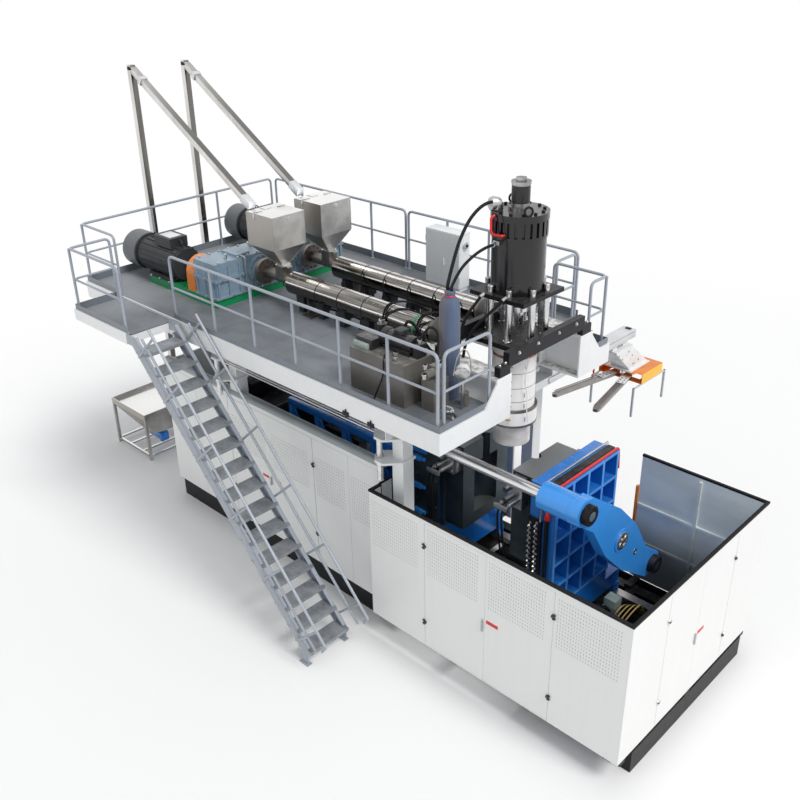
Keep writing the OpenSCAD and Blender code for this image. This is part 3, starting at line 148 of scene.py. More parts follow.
class Shader:
    """The node tree of a material or of the world, under construction."""

    def __init__(self, name: str, owner: Any = None) -> None:
        """Starts an empty tree.

        Args:
            name: the material's name.
            owner: what the tree belongs to, or None for a new material.
        """
        self.owner = owner or bpy.data.materials.new(name)
        self.owner.use_nodes = True
        self.tree = self.owner.node_tree
        self.tree.nodes.clear()

    def node(self, kind: str, settings: dict[str, Any] | None = None, inputs: dict[Any, Any] | None = None,
             output: Any = None) -> Val:
        """Adds a node, sets it, then fills its sockets.

        Args:
            kind: node type.
            settings: attributes that are set first.
            inputs: socket name or index to a value or link.
            output: name or index of the output that is used.

        Returns:
            The chosen output, or the first one that is enabled, if the node has any.
        """
        node = self.tree.nodes.new(kind)
        for key, value in (settings or {}).items():
            setattr(node, key, value)
        for key, value in (inputs or {}).items():
            if isinstance(value, Val):
                self.tree.links.new(value.socket, node.inputs[key])
            else:
                node.inputs[key].default_value = value
        if output is None:
            return Val(self, next((s for s in node.outputs if s.enabled), None))
        return Val(self, node.outputs[output])

    def place(self) -> Val:
        """Position on the piece, in metres in the row frame at rest."""
        return self.node("ShaderNodeTexCoord", output="Object")

    def axis(self, axis: Axis) -> Val:
        """One coordinate of the position on the piece."""
        return self.node("ShaderNodeSeparateXYZ", inputs={0: self.place()}, output=axis.value)

    def facing(self, axis: Axis) -> Val:
        """One component of the surface's direction, in the row frame at rest."""
        direction = self.node("ShaderNodeTexCoord", output="Normal")
        return self.node("ShaderNodeSeparateXYZ", inputs={0: direction}, output=axis.value)

    def noise(self, scale: float, stretch: Point = (1, 1, 1), detail: float = 3, rough: float = 0.5) -> Val:
        """Cloudy noise from 0 to 1.

        Args:
            scale: blotches per metre.
            stretch: how much finer it is along X, Y and Z.
            detail: octaves.
            rough: weight of the finer octaves.

        Returns:
            The noise value.
        """
        place = self.node("ShaderNodeVectorMath", {"operation": "MULTIPLY"},
                          {0: self.place(), 1: tuple(stretch)})
        inputs = {"Vector": place, "Scale": scale, "Detail": detail, "Roughness": rough}
        return self.node("ShaderNodeTexNoise", {}, inputs, "Fac")

    def blend(self, mask: Any, low: Any, high: Any) -> Val:
        """Mixes two colours.

        Args:
            mask: 0 gives low, 1 gives high.
            low: colour or link.
            high: colour or link.

        Returns:
            The mixed colour.
        """
        low, high = (c if isinstance(c, Val) else (*c, 1.0) for c in (low, high))
        return self.node("ShaderNodeMix", {"data_type": "RGBA"}, {0: mask, 6: low, 7: high}, 2)

    def bump(self, height: Val, strength: float, distance: float, under: Val | None = None) -> Val:
        """Relief from a height.

        Args:
            height: the height, from 0 to 1.
            strength: how strongly it shows.
            distance: depth of the relief in metres.
            under: another relief that this one is added to.

        Returns:
            The relief's normal.
        """
        inputs: dict[str, Any] = {"Height": height, "Strength": strength, "Distance": distance}
        if under is not None:
            inputs["Normal"] = under
        return self.node("ShaderNodeBump", {}, inputs)

    def surface(self, color: Any, rough: Any, metal: Any = 0.0,
                normal: Val | None = None, **constants: float) -> Val:
        """Adds the surface shader.

        Args:
            color: base colour or link.
            rough: roughness or link.
            metal: metallic value or link.
            normal: relief.
            constants: further sockets, with underscores for spaces, that are the same all over.

        Returns:
            The shader.
        """
        inputs: dict[str, Any] = {
            "Base Color": color if isinstance(color, Val) else (*color, 1.0),
            "Roughness": rough, "Metallic": metal}
        if normal is not None:
            inputs["Normal"] = normal
        inputs.update({key.replace("_", " "): value for key, value in constants.items()})
        return self.node("ShaderNodeBsdfPrincipled", {}, inputs)

    def close(self, surface: Val, output: str = "ShaderNodeOutputMaterial") -> Any:
        """Sends a shader to the tree's output, and returns the tree's owner."""
        self.node(output, {}, {"Surface": surface})
        return self.owner

    def done(self, *values: Any, **constants: float) -> bpy.types.Material:
        """Closes the material with one surface shader, from the values that surface() takes."""
        return self.close(self.surface(*values, **constants))


@dataclass(frozen=True)
class Paint:
    """Sprayed machine paint: orange peel, cloudy tone, dust on top faces and small chips."""

    name: str
    color: Color
    rough: float = 0.38
    tone: float = 0.1
    dust: float = 0.15
    chips: float = 0.0
    peel: float = 0.12
    coat: float = 0.15
    under: Color = (0.1, 0.1, 0.1)
    gloss: float = 0.5
    zones: tuple[tuple[Axis, float, float, Color], ...] = ()

    def build(self) -> bpy.types.Material:
        """Returns the paint's material."""
        s = Shader(self.name)
        cloud = s.noise(0.9, detail=5, rough=0.6)
        fine = s.noise(14.0, detail=4, rough=0.65)
        dark = dim(self.color, 1 - self.tone)
        light = dim(self.color, 1 + self.tone * 0.5)
        tone = s.blend((cloud * 0.7 + fine * 0.3).step(0.3, 0.7), dark, light)
        for axis, low, high, other in self.zones:
            place = s.axis(axis)
            tone = s.blend((place > low) * (place < high), tone, other)
        up = s.facing(Axis.Z).step(0.55, 0.95)
        dusty = up * fine.step(0.35, 0.75) * self.dust
        color = s.blend(dusty, tone, (0.42, 0.4, 0.37))
        if self.chips:
            chip = s.noise(46.0, detail=2).step(0.7, 0.72) * cloud.step(0.5, 0.62) * self.chips
            color = s.blend(chip, color, self.under)
        rough = fine * 0.14 + (self.rough - 0.07) + dusty * 0.3
        relief = s.bump(s.noise(420.0, detail=1), self.peel, 0.0006)
        return s.done(color, rough.clamped(), 0.0, relief, Coat_Weight=self.coat, Coat_Roughness=0.12,
                      Specular_IOR_Level=self.gloss)


@dataclass(frozen=True)
class SheetPanel:
    """White sheet panels: painted bluish shade on the inner faces, darker towards the bottom, black hinges
    outside the sheet, faint run marks.
    """

    name: str
    color: Color
    inner: Color
    outside: tuple[Axis, float]
    room: tuple[tuple[Axis, float, float], ...] = ()
    tray: float | None = None

    def build(self) -> bpy.types.Material:
        """Returns the panel paint's material."""
        s = Shader(self.name)
        cloud = s.noise(0.55, detail=4, rough=0.55)
        runs = s.noise(2.2, (6, 6, 0.35), detail=4)
        mark = (cloud * 0.5 + runs * 0.5).step(0.3, 0.72)
        outer = s.blend(mark, dim(self.color, 0.968), self.color)
        if self.tray is not None:
            nose = s.noise(3.0, (0.3, 2, 2), detail=4).step(0.3, 0.7)
            outer = s.blend(s.axis(Axis.Z) > self.tray, outer,
                            s.blend(nose, (0.25, 0.285, 0.3), (0.42, 0.46, 0.475)))
        # Painted shade: the inner faces get a cloudy bluish tint that turns dark towards the bottom.
        steel = s.blend(s.noise(1.4, (1, 1, 2.5), detail=5).step(0.3, 0.7), dim(self.inner, 0.84), self.inner)
        steel = s.blend(s.axis(Axis.Z).step(0.65, 1.55), dim(self.inner, 0.15), steel)
        inside: Any = 1.0
        for axis, low, high in self.room:
            place = s.axis(axis)
            inside = (place > low) * (place < high) * inside
        color = s.blend(inside, outer, steel)
        axis, limit = self.outside
        reach = s.axis(axis) * (1.0 if limit > 0 else -1.0)
        hardware = reach > abs(limit) + 0.0006
        color = s.blend(hardware, color, (0.02, 0.02, 0.022))
        rough = runs * 0.1 + 0.3 + inside * 0.12
        return s.done(color, rough, 0.0, s.bump(s.noise(380.0, detail=1), 0.08, 0.0005), Coat_Weight=0.12)


@dataclass(frozen=True)
class Metal:
    """Bare metal with a grain along one axis, smears and small dents, painted shade on the faces turned along
    one axis and a painted highlight on the top faces.
    """

    name: str
    color: Color
    rough: float = 0.3
    grain: tuple[float, float, float] = (2, 2, 60)
    grain_depth: float = 0.12
    smear: float = 0.35
    smear_scale: float = 2.4
    smear_stretch: tuple[float, float, float] = (1, 1, 1)
    metal: float = 1.0
    painted_shade_axis: Axis | None = None
    painted_shade_tone: float = 0.22
    painted_top_light: float = 0.0
    gloss: float = 0.5

    def build(self) -> bpy.types.Material:
        """Returns the metal's material."""
        s = Shader(self.name)
        grain = s.noise(22.0, self.grain, detail=3, rough=0.7)
        smear = s.noise(self.smear_scale, self.smear_stretch, detail=5, rough=0.6)
        dark = dim(self.color, 1 - self.smear)
        color = s.blend((smear * 0.75 + grain * 0.25).step(0.3, 0.68), dark, self.color)
        # Painted shade: faces turned along this axis are darker.
        if self.painted_shade_axis is not None:
            turned = s.facing(self.painted_shade_axis).absolute().step(0.2, 0.5) * (smear * 0.3 + 0.7)
            color = s.blend(turned, color,
                            tuple(c * self.painted_shade_tone * t for c, t in zip(self.color, (1.0, 0.94, 0.88))))
        # Painted highlight: top faces turn near white.
        if self.painted_top_light:
            color = s.blend(s.facing(Axis.Z).step(0.6, 0.9) * self.painted_top_light, color, (0.97, 0.97, 0.96))
        rough = (grain * 0.22 + smear * 0.2 + (self.rough - 0.18)).clamped()
        relief = s.bump(grain, self.grain_depth, 0.0006)
        return s.done(color, rough, self.metal, relief, Specular_IOR_Level=self.gloss)


@dataclass(frozen=True)
class PolishedCover:
    """Mirror-polished heater covers: painted reflections and highlights as long brown and bright streaks
    round the shell.
    """

    name: str
    color: Color

    def build(self) -> bpy.types.Material:
        """Returns the polished cover's material."""
        s = Shader(self.name)
        streak = s.noise(2.6, (0.16, 3.4, 3.4), detail=4, rough=0.6)
        line = s.noise(9.0, (0.1, 4.0, 4.0), detail=4, rough=0.7)
        spot = s.noise(11.0, (1.2, 3, 3), detail=4, rough=0.7)
        # Painted reflections: the tone follows how far each face turns up, brown and darker towards the
        # bottom, with dark lengthwise streaks.
        side = s.facing(Axis.Z) + (streak - 0.5) * 0.22
        near = 1 - s.facing(Axis.Y).step(-0.15, 0.05)
        low, middle = dim(self.color, 0.14), dim(self.color, 0.38)
        color = s.blend(side.step(0.2, 0.42), low, middle)
        color = s.blend(line.step(0.43, 0.55) * 0.85, color, dim(self.color, 0.13))
        # Painted highlights: a thin bright line low on the shell, a broad band near the top of the near side
        # and a bright rim on the far side.
        thin = 1 - (side - 0.33).absolute().step(0.03, 0.07)
        painted_highlight_band = side.step(0.84, 0.88) * (1 - side.step(0.93, 0.97)) * near * streak.step(0.38, 0.5)
        edge = (1 - near) * side.step(0.7, 0.86) * line.step(0.3, 0.55)
        color = s.blend((thin * 0.85 + painted_highlight_band + edge * 0.9).clamped(), color, (0.96, 0.91, 0.9))
        color = s.blend(spot.step(0.6, 0.68) * 0.7, color, (0.09, 0.075, 0.065))
        rough = spot * 0.14 + streak * 0.08 + 0.03
        return s.done(color, rough.clamped(), 1.0, s.bump(s.noise(5.0, (0.6, 2, 2)), 0.1, 0.003))


@dataclass(frozen=True)
class FloorPlate:
    """Dark grey platform floor: foot traffic, plate joints and a fine raised pattern."""

    name: str
    color: Color
    joint: float = 1.22

    def build(self) -> bpy.types.Material:
        """Returns the floor plate's material."""
        s = Shader(self.name)
        traffic = s.noise(0.75, (1, 1.6, 1), detail=6, rough=0.62)
        scuff = s.noise(3.4, (1, 1.4, 1), detail=5)
        worn = s.blend((traffic * 0.65 + scuff * 0.35).step(0.28, 0.7),
                       dim(self.color, 0.7), dim(self.color, 1.28))
        cell = s.axis(Axis.X) * (1 / self.joint)
        gap = s.node("ShaderNodeMath", {"operation": "PINGPONG"}, {0: cell, 1: 0.5})
        worn = s.blend((1 - s.axis(Axis.X).step(-5.7, -4.7)) * 0.55, worn, (0.36, 0.37, 0.385))
        color = s.blend((1 - gap.step(0.001, 0.004)) * 0.6, worn, (0.05, 0.05, 0.05))
        tread = s.node("ShaderNodeTexVoronoi", {"feature": "F1"},
                       {"Vector": s.place(), "Scale": 34.0}, "Distance")
        relief = s.bump(1 - tread.step(0.18, 0.42), 0.22, 0.0015)
        return s.done(color, traffic * 0.25 + 0.42, 0.0, relief)


@dataclass(frozen=True)
class BandedBody:
    """Cream heater bands on the head, brown and oily at the die."""

    name: str
    color: Color
    die_top: float = 2.965

    def build(self) -> bpy.types.Material:
        """Returns the head body's material."""
        s = Shader(self.name)
        height = s.axis(Axis.Z)
        brushed = s.noise(16.0, (1.5, 1.5, 22), detail=4)
        stain = s.noise(4.0, (1, 1, 1.6), detail=5)
        band = s.blend((brushed * 0.5 + stain * 0.5).step(0.3, 0.7), dim(self.color, 0.9), self.color)
        die = s.blend(stain.step(0.3, 0.7), (0.62, 0.58, 0.56), (0.9, 0.87, 0.87))
        low = 1 - height.step(self.die_top - 0.004, self.die_top + 0.004)
        near = (s.axis(Axis.X).absolute() < 0.34) * (s.axis(Axis.Y).absolute() < 0.34)
        color = s.blend(near, (0.075, 0.068, 0.062), s.blend(low, band, die))
        return s.done(color, brushed * 0.2 + 0.3, low * near * 0.35, s.bump(brushed, 0.15, 0.0008))


@dataclass(frozen=True)
class CarriagePaint:
    """White robot carriage with an orange frame, yellow outer side and bare hanging rods."""

    name: str
    white: Color
    orange: Color
    yellow: Color
    frame: tuple[float, float] = (2.6005, 2.7508)

    def build(self) -> bpy.types.Material:
        """Returns the carriage's material."""
        s = Shader(self.name)
        height = s.axis(Axis.Z)
        cloud = s.noise(5.0, detail=5)
        tone = cloud.step(0.3, 0.7)
        white = s.blend(tone, dim(self.white, 0.9), self.white)
        outer = (s.facing(Axis.X) > 0.5) * (s.axis(Axis.X) > 0.335)
        warm = s.blend(outer, s.blend(tone, dim(self.orange, 0.75), self.orange), self.yellow)
        low, high = self.frame
        color = s.blend((height > low) * (height < high), white, warm)
        color = s.blend(height < low, color, (0.55, 0.6, 0.62))
        return s.done(color, cloud * 0.2 + 0.28, 0.0, s.bump(s.noise(400.0, detail=1), 0.1, 0.0005),
                      Coat_Weight=0.15)


@dataclass(frozen=True)
class SteppedCap:
    """Stepped cap of the push cylinder: bright collars with a dark waist."""

    name: str
    bright: Color
    dark: Color

    def build(self) -> bpy.types.Material:
        """Returns the cap's material."""
        s = Shader(self.name)
        height = s.axis(Axis.Z)
        waist = (height > 5.64) * (height < 5.835)
        turned = s.noise(30.0, (1, 1, 14), detail=3)
        oil = s.noise(6.0, detail=4).step(0.35, 0.7)
        metal = s.blend(oil, dim(self.bright, 0.55), self.bright)
        metal = s.blend(s.facing(Axis.Z).step(0.6, 0.9) * 0.75, metal, (0.1, 0.1, 0.1))
        return s.done(s.blend(waist, metal, self.dark), turned * 0.2 + 0.2, 1 - waist * 0.6,
                      s.bump(turned, 0.15, 0.0006))


@dataclass(frozen=True)
class Cloth:
    """Woven hose sleeve with lengthwise folds."""

    name: str
    color: Color

    def build(self) -> bpy.types.Material:
        """Returns the cloth's material."""
        s = Shader(self.name)
        fade = s.noise(2.0, (3, 3, 0.5), detail=5)
        weave = s.node("ShaderNodeTexWave", {"wave_type": "BANDS", "bands_direction": "Z"},
                       {"Vector": s.place(), "Scale": 110.0, "Distortion": 1.5, "Detail": 1.0}, "Fac")
        thread = s.node("ShaderNodeTexWave", {"wave_type": "BANDS", "bands_direction": "X"},
                        {"Vector": s.place(), "Scale": 110.0, "Distortion": 1.5, "Detail": 1.0}, "Fac")
        color = s.blend(fade.step(0.3, 0.7), dim(self.color, 0.62), self.color)
        # Brown-grey on the faces turned away from +X.
        brown_side_mask = (1 - s.facing(Axis.X).step(0.05, 0.5)) * fade.step(0.15, 0.45)
        color = s.blend(brown_side_mask * 0.85, color, (0.165, 0.135, 0.12))
        color = s.blend((weave * thread) * 0.35, color, dim(self.color, 1.6))
        folds = s.bump(s.noise(6.0, (4, 4, 0.4), detail=4), 0.5, 0.01)
        return s.done(color, fade * 0.1 + 0.78, 0.0, s.bump(weave * 0.5 + thread * 0.5, 0.5, 0.0012, folds),
                      Sheen_Weight=0.25)


def compass(count: int, first: float = 0.0) -> list[tuple[float, float]]:
    """Returns the cosine and sine of evenly spread angles, from the first one, in radians."""
    angles = (first + 2 * math.pi * k / count for k in range(count))
    return [(math.cos(a), math.sin(a)) for a in angles]


class Part:
    """One mesh made of many shapes in one finish, which moves with one body of the machine."""

    def __init__(self, name: str, body: str, material: bpy.types.Material, slot: str) -> None:
        """Starts an empty part.

        Args:
            name: the object's name.
            body: the body it moves with.
            material: its finish.
            slot: the record's material slot, which is not used.
        """
        self.name, self.body, self.material, self.slot = name, body, material, slot
        self.mesh = bmesh.new()

    def box(self, low: Point, high: Point, bevel: float = 0.002, turn: Matrix | None = None) -> "Part":
        """Adds a block with rounded edges.

        Args:
            low: lowest corner.
            high: highest corner.
            bevel: edge rounding in metres.
            turn: a transform that is applied last.

        Returns:
            This part.
        """
        a, b = Vector(low), Vector(high)
        place = Matrix.Translation((a + b) / 2) @ Matrix.Diagonal((*(b - a), 1.0))
        verts = bmesh.ops.create_cube(self.mesh, size=1.0, matrix=place)["verts"]
        limit = min(b - a) * 0.45
        if bevel and limit > 0:
            edges = list({e for v in verts for e in v.link_edges})
            made = bmesh.ops.bevel(self.mesh, geom=edges, offset=min(bevel, limit), segments=2, profile=0.5,
                                   affect="EDGES")
            verts = list({v for f in made["faces"] for v in f.verts} | {v for v in verts if v.is_valid})
        if turn is not None:
            bmesh.ops.transform(self.mesh, matrix=turn, verts=verts)
        return self

    def skin(self, rings: Sequence[Sequence[Point]], closed: bool = False) -> "Part":
        """Adds a surface over rings of points.

        Args:
            rings: the rings, each with as many points.
            closed: the last ring joins the first one, and there are no end faces.

        Returns:
            This part.
        """
        made = [[self.mesh.verts.new(p) for p in ring] for ring in rings]
        for low, high in zip(made, made[1:] + made[:1] if closed else made[1:]):
            for k in range(len(low)):
                n = (k + 1) % len(low)
                self.mesh.faces.new((low[k], low[n], high[n], high[k]))
        if not closed:
            self.mesh.faces.new(list(reversed(made[0])))
            self.mesh.faces.new(made[-1])
        return self

    def lathe(self, profile: Sequence[tuple[float, float]], at: Point, along: Point, sides: int = 32,
              ring: bool = False) -> "Part":
        """Adds a turned shape.

        Args:
            profile: distance along the axis and radius, from one end to the other.
            at: where the axis starts.
            along: direction of the axis.
            sides: facets round the axis.
            ring: the profile closes on itself and leaves the middle open.

        Returns:
            This part.
        """
        direction = Vector(along).normalized()
        turn = direction.to_track_quat("Z", "Y").to_matrix().to_4x4()
        place = Matrix.Translation(Vector(at)) @ turn
        spread, least = compass(sides), 1e-5
        rings = [[place @ Vector((max(radius, least) * c, max(radius, least) * s, height)) for c, s in spread]
                 for height, radius in profile]
        return self.skin(rings, ring)

    def band(self, at: Point, along: Point, half: float, low: float, high: float, sides: int = 48,
             ring: bool = False) -> "Part":
        """Adds a flat band round an axis.

        Args:
            at: its middle.
            along: direction of the axis.
            half: half of its width.
            low: inner radius.
            high: outer radius.
            sides: facets round the axis.
            ring: leaves the middle open.

        Returns:
            This part.
        """
        return self.lathe([(-half, low), (-half, high), (half, high), (half, low)], at, along, sides, ring)

    def rod(self, start: Point, end: Point, radius: float, sides: int = 20, chamfer: float = 0.0) -> "Part":
        """Adds a round bar with chamfered ends.

        Args:
            start: centre of the first end.
            end: centre of the second end.
            radius: radius of the bar.
            sides: facets round the bar.
            chamfer: size of the end chamfer.

        Returns:
            This part.
        """
        length = (Vector(end) - Vector(start)).length
        c = chamfer or min(radius * 0.12, length * 0.2)
        profile = [(0, radius - c), (c, radius), (length - c, radius), (length, radius - c)]
        return self.lathe(profile, start, Vector(end) - Vector(start), sides)

    def tube(self, points: Sequence[Point], radius: float, sides: int = 10) -> "Part":
        """Adds a round tube along a path.

        Args:
            points: the path.
            radius: radius of the tube.
            sides: facets round the tube.

        Returns:
            This part.
        """
        path = [Vector(p) for p in points]
        tangent = (path[1] - path[0]).normalized()
        side = tangent.orthogonal().normalized()
        rings = []
        for k, p in enumerate(path):
            ahead = (path[min(k + 1, len(path) - 1)] - path[max(k - 1, 0)]).normalized()
            side = (side - ahead * side.dot(ahead)).normalized()
            other = ahead.cross(side)
            rings.append([p + radius * (c * side + s * other) for c, s in compass(sides)])
        return self.skin(rings)

    def hose(self, points: Sequence[Point], radius: float, steps: int = 7, sides: int = 10) -> "Part":
        """Adds a round hose that flows through points.

        Args:
            points: the points.
            radius: radius of the hose.
            steps: rings on each stretch.
            sides: facets round the hose.

        Returns:
            This part.
        """
        return self.tube(flowing(points, steps), radius, sides)

    def bolt(self, at: Point, along: Point, radius: float, height: float) -> "Part":
        """Adds a washer with a hexagon head.

        Args:
            at: point on the surface.
            along: outward direction.
            radius: radius over the corners of the head.
            height: height of the head.

        Returns:
            This part.
        """
        self.lathe([(0, radius * 1.35), (height * 0.25, radius * 1.35)], at, along, 16)
        top = Vector(at) + Vector(along).normalized() * height * 0.25
        return self.lathe([(0, radius), (height * 0.8, radius), (height, radius * 0.8)], top, along, 6)

    def bolts(self, places: Sequence[Point], along: Point, radius: float, height: float) -> "Part":
        """Adds a bolt at each place.

        Args:
            places: points on the surface.
            along: outward direction.
            radius: radius over the corners of the heads.
            height: height of the heads.

        Returns:
            This part.
        """
        for at in places:
            self.bolt(at, along, radius, height)
        return self

    def sheet(self, outline: Sequence[Point], thickness: Point) -> "Part":
        """Adds a flat plate.

        Args:
            outline: its corners in order, in one plane.
            thickness: the offset from one face to the other.

        Returns:
            This part.
        """
        return self.skin([[Vector(p) for p in outline], [Vector(p) + Vector(thickness) for p in outline]])

    def done(self, sharp: float = 34.0) -> bpy.types.Object:
        """Turns the shapes into an object, and puts it on its body.

        Args:
            sharp: edges sharper than this angle, in degrees, stay sharp.

        Returns:
            The object.
        """
        bmesh.ops.recalc_face_normals(self.mesh, faces=self.mesh.faces)
        data = bpy.data.meshes.new(self.name)
        self.mesh.to_mesh(data)
        self.mesh.free()
        data.shade_smooth()
        data.set_sharp_from_angle(angle=math.radians(sharp))
        data.materials.append(self.material)
        obj = bpy.data.objects.new(self.name, data)
        bpy.context.scene.collection.objects.link(obj)
        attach(obj, self.body)
        log.info("%s: %d faces on %s", self.name, len(data.polygons), self.body)
        return obj


def rounded(points: Sequence[Point], radius: float, steps: int = 5) -> list[Vector]:
    """Rounds the corners of a path.

    Args:
        points: the path.
        radius: how far before and after a corner the bend runs.
        steps: points in each bend.

    Returns:
        The path with bends.
    """
    path = [Vector(p) for p in points]
    out = [path[0]]
    for before, corner, after in zip(path, path[1:], path[2:]):
        reach = min(radius, (corner - before).length * 0.49, (after - corner).length * 0.49)
        a = corner + (before - corner).normalized() * reach
        b = corner + (after - corner).normalized() * reach
        for k in range(steps + 1):
            t = k / steps
            out.append(a.lerp(corner, t).lerp(corner.lerp(b, t), t))
    out.append(path[-1])
    return out


def flowing(points: Sequence[Point], steps: int = 6) -> list[Vector]:
    """Smooth curve through points, for hoses and cables.

    Args:
        points: the points that it goes through.
        steps: points on each stretch.

    Returns:
        The points of the curve.
    """
    path = [Vector(p) for p in points]
    path = [path[0] * 2 - path[1], *path, path[-1] * 2 - path[-2]]
    out = []
    for a, b, c, d in zip(path, path[1:], path[2:], path[3:]):
        for k in range(steps):
            t = k / steps
            curve = (2 * a - 5 * b + 4 * c - d) * t ** 2 + (3 * b - a - 3 * c + d) * t ** 3
            out.append(0.5 * (2 * b + (c - a) * t + curve))
    out.append(path[-2])
    return out


